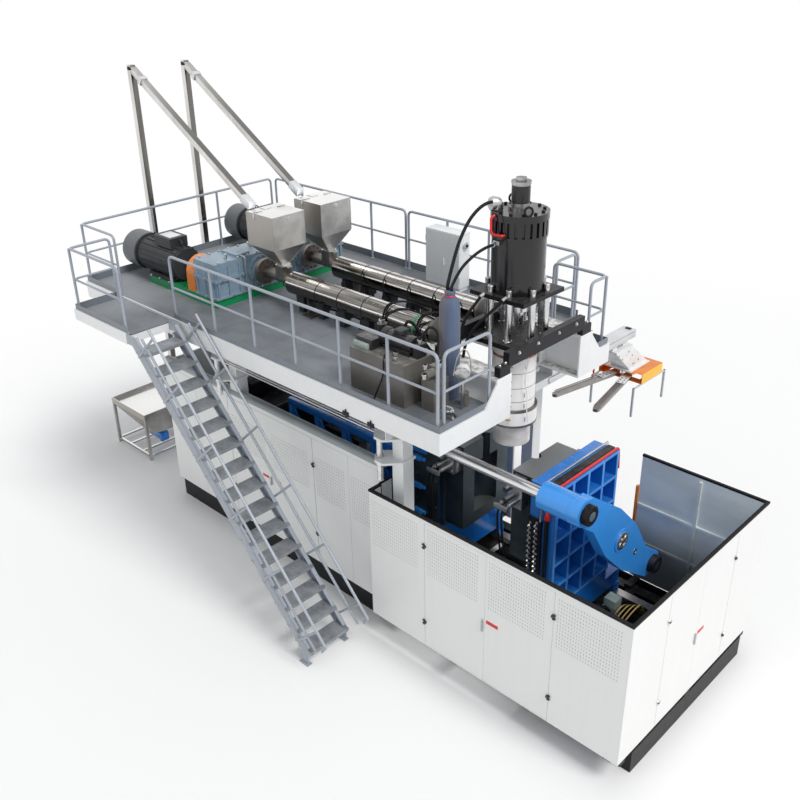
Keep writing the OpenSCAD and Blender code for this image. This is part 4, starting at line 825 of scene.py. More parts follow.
class Finishes:
    """Every finish of the machine, built once, with its usual slot and the CAD nodes that wear it."""

    def __init__(self) -> None:
        """Builds the materials and dresses the CAD nodes."""
        sheet, inner, primer = (0.85, 0.857, 0.845), (0.93, 0.98, 0.96), (0.35, 0.34, 0.33)
        white, orange = (0.87, 0.88, 0.88), (0.85, 0.24, 0.02)
        room = ((Axis.X, -0.895, 2.7375), (Axis.Y, -1.5665, 1.3645), (Axis.Z, 0.0, 2.2495))
        middle = ((Axis.X, -5.6, -0.966), (Axis.Y, -1.3205, 1.3), (Axis.Z, 0.0, 2.4395))
        rows = (
            ("white", "white_paint", "columns fascia",
             Paint("white_machine_paint", white, tone=0.05, dust=0.1, chips=0.35, under=primer)),
            ("near_panel", "", "encl_walls near_door_a near_door_b",
             SheetPanel("near_wall_sheet", sheet, inner, (Axis.Y, -1.596), room)),
            ("end_panel", "", "end_door_a end_door_b",
             SheetPanel("end_wall_sheet", sheet, inner, (Axis.X, 2.767), room)),
            ("mid_panel", "", "mid_panels mid_door_a mid_door_b",
             SheetPanel("cabinet_sheet", sheet, inner, (Axis.Y, -1.35), middle, 2.4402)),
            ("black", "base_black", "base_frame",
             Paint("black_frame_paint", (0.011, 0.011, 0.013), tone=0.3, dust=0.1, chips=0.4, coat=0.0,
                   under=(0.1, 0.1, 0.1), gloss=0.18)),
            ("enamel", "", "head_cylinder",
             Paint("cylinder_enamel", (0.007, 0.007, 0.009), 0.2, 0.3, 0.15, 0.3, coat=0.25, gloss=0.45)),
            ("beam", "", "main_beams",
             Paint("beam_paint", white, tone=0.08, dust=1.9, chips=0.5, under=primer)),
            # Painted highlight: lighter blue for the lit edges of the platen's ribs.
            ("rib_edge_highlight", "clamp_blue", "",
             Paint("rib_edge_highlight_paint", (0.1, 0.36, 0.88), 0.3, 0.2, 0.1, 0.5, under=(0.4, 0.45, 0.5))),
            ("rail", "rail_grey", "railings stair_stringers handrails",
             Paint("railing_paint", (0.37, 0.405, 0.46), tone=0.1, dust=0.25, chips=0.3,
                   under=(0.3, 0.31, 0.32))),
            ("kick", "", "kick_plates",
             Paint("kick_plate_paint", (0.2, 0.225, 0.26), tone=0.15, dust=0.3, chips=0.6,
                   under=(0.42, 0.42, 0.42))),
            ("floor", "", "deck", FloorPlate("platform_floor", (0.185, 0.2, 0.222))),
            ("tread", "tread_steel", "stair_treads",
             Metal("tread_plate", (0.4, 0.42, 0.45), 0.55, (4, 4, 4), 0.25, 0.4, 6.0, metal=0.55)),
            ("green", "green_paint", "drive_base",
             Paint("green_base_paint", (0.0, 0.3, 0.1), 0.25, 0.18, 0.15, 0.6, under=(0.25, 0.22, 0.2))),
            ("motor", "motor_black", "motors blower_boxes",
             Paint("motor_paint", (0.04, 0.042, 0.048), 0.42, 0.3, 0.15, 0.3, coat=0.0, gloss=0.3,
                   zones=((Axis.X, -6.75, -6.29, (0.15, 0.16, 0.175)),))),
            ("orange", "orange_paint", "coupling_guards", Paint("guard_paint", orange, 0.3, 0.12, 0.1, 0.4)),
            ("gearbox", "", "gearboxes",
             Paint("gearbox_paint", (0.26, 0.365, 0.46), 0.34, 0.22, 0.35, 0.7, under=(0.5, 0.48, 0.45))),
            ("blue", "clamp_blue", "platen_left platen_right",
             Paint("clamp_paint", (0.012, 0.195, 0.66), 0.24, 0.16, 0.08, 0.4, peel=0.06, coat=0.5,
                   under=(0.12, 0.2, 0.4))),
            ("yoke", "clamp_blue", "yoke",
             Paint("yoke_paint", (0.045, 0.34, 0.92), 0.24, 0.1, 0.05, 0.3, peel=0.06, coat=0.5,
                   under=(0.15, 0.25, 0.45))),
            ("cream", "", "head_body", BandedBody("heater_bands", (0.95, 0.93, 0.915))),
            ("head_black", "head_black", "head_plates",
             Paint("head_black_paint", (0.013, 0.013, 0.016), 0.36, 0.3, 0.12, 0.35, coat=0.0,
                   under=(0.15, 0.15, 0.15), gloss=0.22)),
            ("cabinet", "cabinet_grey", "control_cabinet panel_door_l panel_door_r",
             Paint("cabinet_paint", (0.84, 0.865, 0.88), 0.4, 0.05, 0.12, 0.0)),
            ("tank", "", "hyd_unit",
             Paint("tank_paint", (0.15, 0.142, 0.128), 0.42, 0.3, 0.4, 0.4, under=(0.3, 0.28, 0.26),
                   zones=((Axis.Z, 4.131, 9.0, (0.018, 0.018, 0.02)),))),
            ("steel", "machined_steel", "clamp_rails die_pin screw_near screw_far",
             Metal("machined_steel", (0.62, 0.62, 0.62), 0.3, smear=0.45)),
            ("chrome", "chrome_steel", "jack_screws head_rods ram tie_bars",
             Metal("ground_bar", (0.78, 0.78, 0.79), 0.2, (40, 1.5, 1.5), 0.05, 0.3, 3.0, (0.3, 2, 2))),
            ("cover", "polished_steel", "barrel_covers", PolishedCover("polished_cover", (0.8, 0.765, 0.71))),
            # Painted shade on the faces turned along Y, and a painted highlight on the top faces.
            ("stainless", "stainless", "hoppers hopper_lid_near hopper_lid_far floor_bin",
             Metal("brushed_stainless", (0.68, 0.67, 0.65), 0.34, (3, 3, 40), 0.1, 0.42, 3.2,
                   painted_shade_axis=Axis.Y, painted_shade_tone=0.62, painted_top_light=0.85)),
            # Painted shade on the faces turned along X.
            ("tube", "stainless", "loader_tubes",
             Metal("tube_stainless", (0.78, 0.77, 0.75), 0.26, (30, 30, 3), 0.08, 0.35, 2.0, (1, 1, 0.4),
                   painted_shade_axis=Axis.X, painted_shade_tone=0.14)),
            ("carriage", "", "robot_carriage",
             CarriagePaint("carriage_paint", white, orange, (0.95, 0.5, 0.02))),
            ("dark_steel", "dark_steel", "barrels",
             Metal("barrel_steel", (0.3, 0.272, 0.25), 0.42, (3, 30, 30), 0.2, 0.5, 5.0)),
            # Painted highlight on the top faces.
            ("mould", "mould_iron", "mould_left mould_right side_cylinders_left side_cylinders_right",
             Metal("mould_steel", (0.08, 0.108, 0.125), 0.38, (20, 3, 3), 0.12, 0.55, 1.8,
                   metal=0.75, painted_top_light=0.25)),
            ("aluminium", "robot_aluminium", "robot_beam",
             Metal("beam_aluminium", (0.74, 0.75, 0.77), 0.36, (60, 2, 60), 0.05, 0.16)),
            ("arm", "arm_grey", "grip_arm_a grip_arm_b",
             Metal("arm_aluminium", (0.4, 0.375, 0.36), 0.4, (50, 2, 50), 0.1, 0.3)),
            ("leg", "robot_aluminium", "",
             Metal("leg_steel", (0.5, 0.56, 0.58), 0.4, (9, 9, 3), 0.08, 0.25, metal=0.3)),
            ("rubber", "hose_rubber", "encl_rim hoses",
             Metal("black_rubber", (0.012, 0.012, 0.014), 0.62, (8, 8, 8), 0.2, 0.3, 5.0,
                   metal=0.0, gloss=0.2)),
            ("cap", "", "head_cap", SteppedCap("stepped_cap", (0.6, 0.6, 0.6), (0.03, 0.03, 0.032))),
            ("cloth", "sleeve_cloth", "hose_sleeve", Cloth("sleeve_cloth", (0.1, 0.135, 0.225))),
            ("slot_dark", "base_black", "",
             Metal("slot_shadow", (0.56, 0.565, 0.57), 0.6, (9, 9, 9), 0.05, 0.3, 4.0, metal=0.0)),
            ("red", "orange_paint", "", Paint("signal_red", (0.72, 0.012, 0.012), 0.3, 0.12, 0.08, 0.0)),
            ("copper", "head_cream", "",
             Metal("copper_ring", (0.5, 0.24, 0.13), 0.25, (30, 30, 2), 0.1, 0.4, 6.0)),
            ("brass", "machined_steel", "",
             Metal("brass_fitting", (0.62, 0.44, 0.17), 0.3, (9, 9, 9), 0.1, 0.3, 8.0)),
            ("light_green", "tank_grey", "",
             Paint("junction_box_paint", (0.36, 0.44, 0.41), 0.4, 0.1, 0.2, 0.0)),
        )
        self.table: dict[str, tuple[bpy.types.Material, str]] = {}
        for key, slot, nodes, finish in rows:
            material = finish.build()
            self.table[key] = material, slot
            for name in nodes.split():
                data = frame["nodes"][name].data
                data.materials.clear()
                data.materials.append(material)
        worn = {material for material, _ in self.table.values()}
        bare = [n for n, o in frame["nodes"].items() if o.data.materials[0] not in worn]
        log.info("CAD nodes dressed: %d, left bare: %s", len(frame["nodes"]), bare)


@dataclass
class Assembly:
    """A sub-assembly: shapes() adds its parts, and build() closes them."""

    finishes: Finishes
    parts: list[Part] = field(default_factory=list)

    def part(self, name: str, finish: str, body: str = "machine", slot: str = "") -> Part:
        """Starts a part.

        Args:
            name: the object's name.
            finish: key of its finish.
            body: the body it moves with.
            slot: the record's material slot, where it isn't the finish's usual one.

        Returns:
            The part, which build() closes.
        """
        material, usual = self.finishes.table[finish]
        self.parts.append(Part(name, body, material, slot or usual))
        return self.parts[-1]

    def shapes(self) -> None:
        """Adds the parts; each sub-assembly has its own."""
        raise NotImplementedError

    def build(self) -> None:
        """Adds the parts, and closes those that are still open."""
        self.shapes()
        for part in self.parts:
            if part.mesh.is_valid:
                part.done()


@dataclass
class Louvres(Assembly):
    """Punched slots in the upper part of the white sheet panels."""

    pitch: float = 0.034
    row: float = 0.048
    width: float = 0.0075
    height: float = 0.028
    margin: float = 0.055
    depth: float = 0.0012

    def field(self, part: Part, start: float, end: float, low: float, high: float, wall: float) -> None:
        """Adds a field of slots on the outside of a wall that stands along X.

        Args:
            part: where the slots go.
            start: lowest X of the panel.
            end: highest X of the panel.
            low: lowest Z of the field.
            high: highest Z of the field.
            wall: Y of the wall's face.
        """
        w, h = self.width / 2, self.height
        for r in range(int((high - low) / self.row)):
            z = low + r * self.row
            for c in range(int((end - start - 2 * self.margin) / self.pitch)):
                x = start + self.margin + c * self.pitch
                part.sheet([(x - w, wall, z + w), (x, wall, z), (x + w, wall, z + w),
                            (x + w, wall, z + h - w), (x, wall, z + h), (x - w, wall, z + h - w)],
                           (0, math.copysign(self.depth, wall), 0))

    def shapes(self) -> None:
        """Adds the slots of every panel."""
        for name, body, *size in (
                ("near_wall_slots_1", "machine", -0.929, -0.005, 1.48, 2.17, -1.596),
                ("near_wall_slots_2", "near_door_a", -0.005, 0.919, 1.48, 2.17, -1.596),
                ("near_wall_slots_3", "near_door_b", 0.919, 1.843, 1.48, 2.17, -1.596),
                ("near_wall_slots_4", "machine", 1.843, 2.767, 1.48, 2.17, -1.596),
                ("cabinet_slots_1", "mid_door_b", -3.174, -2.25, 1.55, 2.15, -1.35),
                ("cabinet_slots_2", "machine", -2.25, -1.557, 1.5, 2.15, -1.35),
                ("cabinet_slots_3", "machine", -1.557, -0.935, 1.45, 2.15, -1.35),
                ("cabinet_slots_4", "mid_door_a", -4.098, -3.174, 1.6, 2.15, -1.35)):
            self.field(self.part(name, "slot_dark", body), *size)
        far = self.part("far_wall_slots", "slot_dark")
        for start, end in ((1.095, 1.93), (1.93, 2.737)):
            self.field(far, start, end, 1.56, 2.17, 1.394)


@dataclass
class Enclosure(Assembly):
    """Door furniture, seams and edge strips of the clamp enclosure and the middle cabinet."""

    near_y: float = -1.596
    end_x: float = 2.767
    mid_y: float = -1.35
    label: float = 0.0015

    def furniture(self) -> None:
        """Adds handles and blank red labels on the doors."""
        near, end, mid, thin = self.near_y, self.end_x, self.mid_y, self.label
        for name, body, low, high in (
                ("near_door_handle", "near_door_a", (0.882, near - 0.03, 1.13), (0.902, near, 1.26)),
                ("end_door_handle", "end_door_a", (end, -0.15, 1.1), (end + 0.02, -0.128, 1.25)),
                ("cabinet_handle", "mid_door_a", (-3.215, mid - 0.03, 1.25), (-3.195, mid, 1.38))):
            self.part(name, "steel", body).box(low, high, 0.004)
        self.parts[0].box((0.878, near - 0.006, 1.1), (0.906, near, 1.29))
        for name, body, low, high in (
                ("near_door_label", "near_door_b", (0.945, near - thin, 1.255), (1.115, near, 1.305)),
                ("end_door_label", "end_door_b", (end, -0.08, 1.2), (end + thin, 0.06, 1.25)),
                ("cabinet_label_a", "mid_door_a", (-3.4, mid - thin, 1.33), (-3.26, mid, 1.37)),
                ("cabinet_label_b", "mid_door_b", (-3.1, mid - thin, 1.33), (-3.0, mid, 1.37))):
            self.part(name, "red", body).box(low, high, 0.0004)

    def seams(self) -> None:
        """Adds the joints between fixed panels."""
        part = self.part("panel_seams", "slot_dark")
        near, end, mid, gap = self.near_y - 0.001, self.end_x - 0.003, self.mid_y - 0.001, 0.004
        for x in (-1.557, -2.2535, -4.1035, -4.9):
            part.box((x - gap / 2, mid, 0.37), (x + gap / 2, mid + gap, 2.37), 0)
        part.box((-5.69, mid, 2.374), (-0.94, mid + gap, 2.378), 0)
        for x in (1.841, -0.007):
            part.box((x, near, 0.37), (x + gap, near + gap, 2.19), 0)
        for y in (-0.8505, 0.6445):
            part.box((end, y, 0.37), (end + gap, y + gap, 2.19), 0)

    def strips(self) -> None:
        """Adds the far wall's orange strip and sill, and the return wall's flap with its edging."""
        self.part("light_curtain", "orange").box((1.052, 1.345, 1.2), (1.094, 1.394, 1.78), 0.006) \
            .box((1.06, 1.352, 1.17), (1.09, 1.388, 1.2), 0.003)
        rim = self.part("return_wall_edging", "rubber", slot="rim_rubber")
        rim.box((-0.934, -1.412, 0.4), (-0.894, -1.402, 2.262), 0.003)
        rim.box((-0.946, -1.406, 2.24), (-0.92, -1.18, 2.262), 0.004)
        rim.box((-0.946, -1.196, 0.365), (-0.92, -1.18, 2.25), 0.004)
        for z in (1.95, 2.05):
            rim.box((-0.96, -1.43, z), (-0.9, -1.4, z + 0.05), 0.004)
        self.part("return_wall_flap", "white").box((-0.938, -1.402, 0.365), (-0.928, -1.19, 2.25), 0.001)
        self.part("far_wall_sill", "black").box((-0.88, 1.352, 0.0), (2.72, 1.362, 0.36))

    def shapes(self) -> None:
        """Adds the small pieces of the enclosure and the cabinet."""
        self.furniture()
        self.seams()
        self.strips()


@dataclass
class Railings(Assembly):
    """Bent tube railings of the platform, in panels with a middle rail."""

    floor: float = 3.62
    top: float = 4.528
    middle: float = 4.08965
    radius: float = 0.019
    bend: float = 0.085
    side: float = 1.815
    back: float = -6.655
    landing: float = -2.532

    def runs(self) -> list[list[tuple[float, float]]]:
        """Returns each railing panel as its posts, in metres."""
        near, far, back, land = -self.side, self.side, self.back, self.landing
        return [
            [(x, near) for x in (-4.383, -3.479, -2.652, -1.868, -1.084, -0.316, 0.401)],
            [(0.42, near + 0.074), (0.42, -0.999)],
            [(-5.763, near), (back, near), (back, -0.62), (back, 0.62), (back, far - 0.06)],
            [(x, far) for x in (back + 0.06, -5.9, -5.0, -4.25, -3.5)],
            [(x, far) for x in (-3.44, -2.66, -1.88, -1.13)],
            [(-1.07, far), (-0.385, far)],
            [(-0.385, far - 0.06), (-0.385, 1.345)],
            [(-0.385, 1.285), (0.385, 1.285), (0.385, 0.956)],
            [(-4.48, land), (-5.715, land), (-5.715, -1.92)],
        ]

    def shapes(self) -> None:
        """Adds the railings in place of the plain ones, and the posts' foot rings."""
        part = self.part("bent_railings", "rail")
        feet = self.part("railing_feet", "rail")
        for run in self.runs():
            path = [(*run[0], self.floor), *[(*p, self.top) for p in run], (*run[-1], self.floor)]
            part.tube(rounded(path, self.bend, 6), self.radius, 14)
            part.tube(rounded([(*p, self.middle) for p in run], self.bend, 6), self.radius * 0.8, 12)
            for p in run[1:-1]:
                part.rod((*p, self.floor), (*p, self.top), self.radius, 14)
            for p in run:
                feet.lathe([(0, 0.034), (0.006, 0.034), (0.01, 0.024)], (*p, self.floor), UP, 16)
        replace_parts(part.done(), "railings")


@dataclass
class Platform(Assembly):
    """Small pieces on the white edge beams and the beams of the head."""

    def shapes(self) -> None:
        """Adds brackets, the knobs of the bearing shafts and joint bolts."""
        dark = self.part("fascia_brackets", "head_black")
        for x in (-0.96, -0.55):
            dark.box((x - 0.05, -1.885, 3.375), (x + 0.05, -1.865, 3.43), 0.003)
            dark.rod((x, -1.875, 3.36), (x, -1.875, 3.46), 0.01, 12)
        knobs = self.part("shaft_knobs", "red")
        for y in (-1.45, -1.4):
            knobs.lathe([(0, 0.018), (0.01, 0.026), (0.05, 0.026), (0.06, 0.018)],
                        (-4.125, y, 2.9978), (-1, 0, 0), 16)
        joints = self.part("beam_bolts", "steel")
        joints.bolts([(x, side.value * 0.79 + dy, 4.07) for side in Side for x in (-0.44, 0.435)
                      for dy in (-0.05, 0.05)], UP, 0.016, 0.018)
        joints.bolts([(x + dx, side.value * (y - dy), 3.04) for x, y in ((-0.62, 1.3), (-3.94, 1.225))
                      for side in Side for dx, dy in ((-0.06, -0.23), (-0.23, -0.06))], UP, 0.012, 0.01)


@dataclass
class Stair(Assembly):
    """Raised lines on the treads, folded stringer flanges and bolts of the stair."""

    count: int = 15
    rise: float = 0.23
    going: float = 0.211
    first: tuple[float, float] = (-1.049, 0.24)
    near: float = -2.587
    far: float = -1.924
    flange: float = 0.045
    sheet: float = 0.004

    def shapes(self) -> None:
        """Adds the treads' raised lines, the bolts and the stringers' flanges."""
        lips = self.part("tread_lips", "tread")
        screws = self.part("tread_bolts", "steel")
        for k in range(self.count):
            x, z = self.first[0] - k * self.going, self.first[1] + k * self.rise
            for j in range(9):
                y = self.near + 0.05 + j * 0.07
                lips.rod((x - 0.235, y, z + 0.0008), (x - 0.015, y, z + 0.0008), 0.003, 6)
            for y, out in ((self.near, -1), (self.far, 1)):
                screws.bolts([(x + dx, y, z - 0.02) for dx in (-0.19, -0.06)], (0, out, 0), 0.01, 0.008)
        flange = self.part("stringer_flanges", "rail")
        slope = Vector((-3.09, 0, 3.39)).normalized()
        for y, inward in ((self.near, self.flange), (self.far - 0.01, -self.flange)):
            for (x0, z0), (x1, z1) in (((-1.112, 0.26), (-4.198, 3.648)), ((-1.252, 0.212), (-4.288, 3.508))):
                flange.sheet([(x0, y, z0), (x1, y, z1), (x1, y + inward, z1), (x0, y + inward, z0)],
                             (-self.sheet * slope.z, 0, self.sheet * slope.x))


@dataclass
class Extruders(Assembly):
    """Covers, straps, wiring, fittings and bolts of the two extruders, their gearboxes and motors."""

    y: float = 0.43
    z: float = 4.02
    covers: tuple[float, ...] = (-3.52, -2.91, -2.48, -2.02, -1.57, -1.115, -0.88)
    cover_r: float = 0.154
    cover_z: float = 3.99
    cover_step: float = 0.001
    gap: float = 0.003
    motor: tuple[float, float] = (0.96, 3.99)
    hopper_x: float = -3.81
    throat_x: float = -3.72

    def shells(self, side: Side) -> None:
        """Adds the heater covers, the dark straps between them with hanging weights, and the rows of screws.

        Args:
            side: which extruder.
        """
        y, name, start, s = side.value * self.y, side.name.lower(), self.covers[0], side.value
        zones = [(x0, x1, self.cover_r + self.cover_step * k)
                 for k, (x0, x1) in enumerate(zip(self.covers, self.covers[1:]))]
        profile = [(self.gap, 0.04)]
        for x0, x1, r in zones:
            a, b = x0 - start + self.gap, x1 - start - self.gap
            profile += [(a, r - 0.004), (a + 0.001, r), (b - 0.001, r), (b, r - 0.004)]
        shell = self.part(f"heater_covers_{name}", "cover")
        shell.lathe([*profile, (profile[-1][0], 0.04)], (start, y, self.cover_z), ALONG, 72)
        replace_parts(shell.done(), "barrel_covers")
        strap = self.part(f"cover_straps_{name}", "rubber")
        hang = y + s * 0.165
        for _, x, r in zones[:-2]:
            strap.band((x, y, self.cover_z), ALONG, 0.006, r - 0.02, r + 0.003)
            strap.tube([(x, y + s * 0.13, 3.895), (x, hang, 3.86), (x, hang, 3.8)], 0.008, 8)
            strap.rod((x, hang, 3.752), (x, hang, 3.806), 0.03, 6)
        seam = self.part(f"cover_seams_{name}", "steel")
        for x0, x1, r in zones:
            for degrees in (58, 122):
                dy, dz = math.cos(math.radians(degrees)) * r, math.sin(math.radians(degrees)) * r
                for j in range(4):
                    seam.lathe([(0, 0.007), (0.003, 0.007), (0.004, 0.004)],
                               (x0 + 0.05 + (x1 - x0 - 0.1) * j / 3, y + dy, self.cover_z + dz),
                               (0, dy, dz), 8)

    def wiring(self) -> None:
        """Adds conduits with their fittings, cables on the floor, and the green strap at the front zone."""
        self.part("green_strap", "green").band((-1.115, -self.y, self.cover_z), ALONG, 0.016, 0.14, 0.163)
        cable = self.part("zone_conduits", "rubber")
        plug = self.part("conduit_fittings", "brass")
        for x in (-1.6, -1.03):
            path = flowing([(x + 0.3, -0.12, 4.06), (x + 0.2, -0.26, 4.17), (x + 0.1, -0.42, 4.215),
                            (x + 0.03, -0.55, 4.18), (x, -0.603, 4.03), (x - 0.01, -0.61, 3.84)], 7)
            cable.tube(path, 0.013, 12)
            cable.tube([p + Vector((0.034, 0.0, 0.004)) for p in path], 0.009, 10)
            plug.rod((x - 0.01, -0.61, 3.76), (x - 0.01, -0.61, 3.87), 0.019, 16)
        for x in self.covers[1:-1]:
            cable.hose([(x, self.y - 0.12, 4.09), (x + 0.03, 0.26, 4.06), (x + 0.05, 0.23, 3.9),
                        (x + 0.04, 0.22, 3.66)], 0.008, 6, 8)
        for dy in (-0.2, -0.08, 0.06):
            cable.hose([(-3.45, dy, 3.634), (-2.6, dy + 0.05, 3.636), (-1.9, dy - 0.05, 3.634),
                        (-1.32, dy, 3.636)], 0.013, 8, 8)

    def drives(self) -> None:
        """Adds gearbox bolts and pipes, motor eyes, cowl grilles, lids and base bolts."""
        screws = self.part("drive_bolts", "steel")
        pipes = self.part("oil_pipes", "steel")
        cowl = self.part("fan_grilles", "motor")
        lids = self.part("terminal_lids", "cabinet")
        for side in Side:
            s, y, z = side.value, side.value * self.motor[0], self.motor[1]
            rows = [s * (0.075 + k * 0.17) for k in range(7)]
            screws.bolts([(x, row, 4.252) for row in rows for x in (-4.76, -4.32)], UP, 0.015, 0.016)
            screws.bolts([(-4.26, row, h) for row in rows for h in (3.755, 4.01)], ALONG, 0.012, 0.012)
            screws.bolts([(x, s * 1.206, h) for x in (-4.72, -4.53, -4.35) for h in (3.755, 4.01)],
                         (0, s, 0), 0.012, 0.012)
            screws.bolts([(-4.23, s * self.y + 0.185 * c, self.z + 0.185 * d) for c, d in compass(12)],
                         ALONG, 0.012, 0.012)
            screws.bolts([(x, y + dy, 3.741) for x in (-5.93, -5.7, -5.45) for dy in (-0.2494, 0.2494)],
                         UP, 0.016, 0.016)
            pipes.tube(rounded([(-4.225, s * 0.7, 3.8), (-4.225, s * 0.7, 4.27), (-4.45, s * 0.7, 4.27),
                                (-4.45, s * 0.64, 4.29)], 0.04), 0.009, 10)
            pipes.rod((-4.4, s * 0.9, 4.25), (-4.4, s * 0.9, 4.33), 0.022, 16)
            pipes.rod((-4.62, s * 0.3, 4.25), (-4.62, s * 0.3, 4.31), 0.03, 20)
            for k in range(5):
                r = 0.05 + k * 0.045
                cowl.lathe([(0, r), (-0.004, r), (-0.004, r + 0.012), (0, r + 0.012)],
                           (-6.6151, y, z), ALONG, 36)
            cowl.lathe([(0.0, 0.278), (0.012, 0.279), (0.024, 0.278)], (-6.3, y, z), ALONG, 48)
            for x in (-6.05, -5.42):
                cowl.tube([(x + 0.05 * c, y, 4.285 + 0.045 * d) for c, d in compass(20)[:11]], 0.01, 8)
            lids.box((-5.8, y - 0.1, 4.368), (-5.52, y + 0.1, 4.3695), 0.0005)

    def hopper_trim(self) -> None:
        """Adds corner welds, catches, lid plates and the slide gates of the hoppers."""
        trim = self.part("hopper_trim", "stainless")
        catch = self.part("hopper_catches", "aluminium", slot="machined_steel")
        corners = [(a, b) for a in (-1, 1) for b in (-1, 1)]
        for y in (side.value * self.y for side in Side):
            for a, b in corners:
                x1, y1 = self.hopper_x + 0.28 * a, y + 0.28 * b
                trim.tube([(x1, y1, 4.495), (x1, y1, 4.938)], 0.0035, 8)
                trim.tube([(x1, y1, 4.49), (self.throat_x + 0.058 * a, y + 0.058 * b, 4.212)], 0.004, 8)
            trim.box((self.hopper_x, y - 0.06, 4.19), (-3.63, y + 0.06, 4.205))
            trim.box((-4.078, y - 0.058, 4.9512), (-3.955, y + 0.058, 4.956), 0.001)
            trim.box((-3.625, y - 0.04, 4.188), (-3.57, y + 0.04, 4.207), 0.004)
            catch.box((-3.935, y - 0.2865, 4.87), (-3.905, y - 0.28, 4.942))
            catch.box((-3.532, y - 0.03, 4.865), (-3.526, y + 0.03, 4.925))
            catch.bolts([(self.throat_x + math.copysign(0.07, c), y + 0.07 * d, 4.1905)
                         for c, d in compass(6, 0.3)], UP, 0.008, 0.008)

    def shapes(self) -> None:
        """Adds everything on the extruders."""
        for side in Side:
            self.shells(side)
        self.wiring()
        self.drives()
        self.hopper_trim()


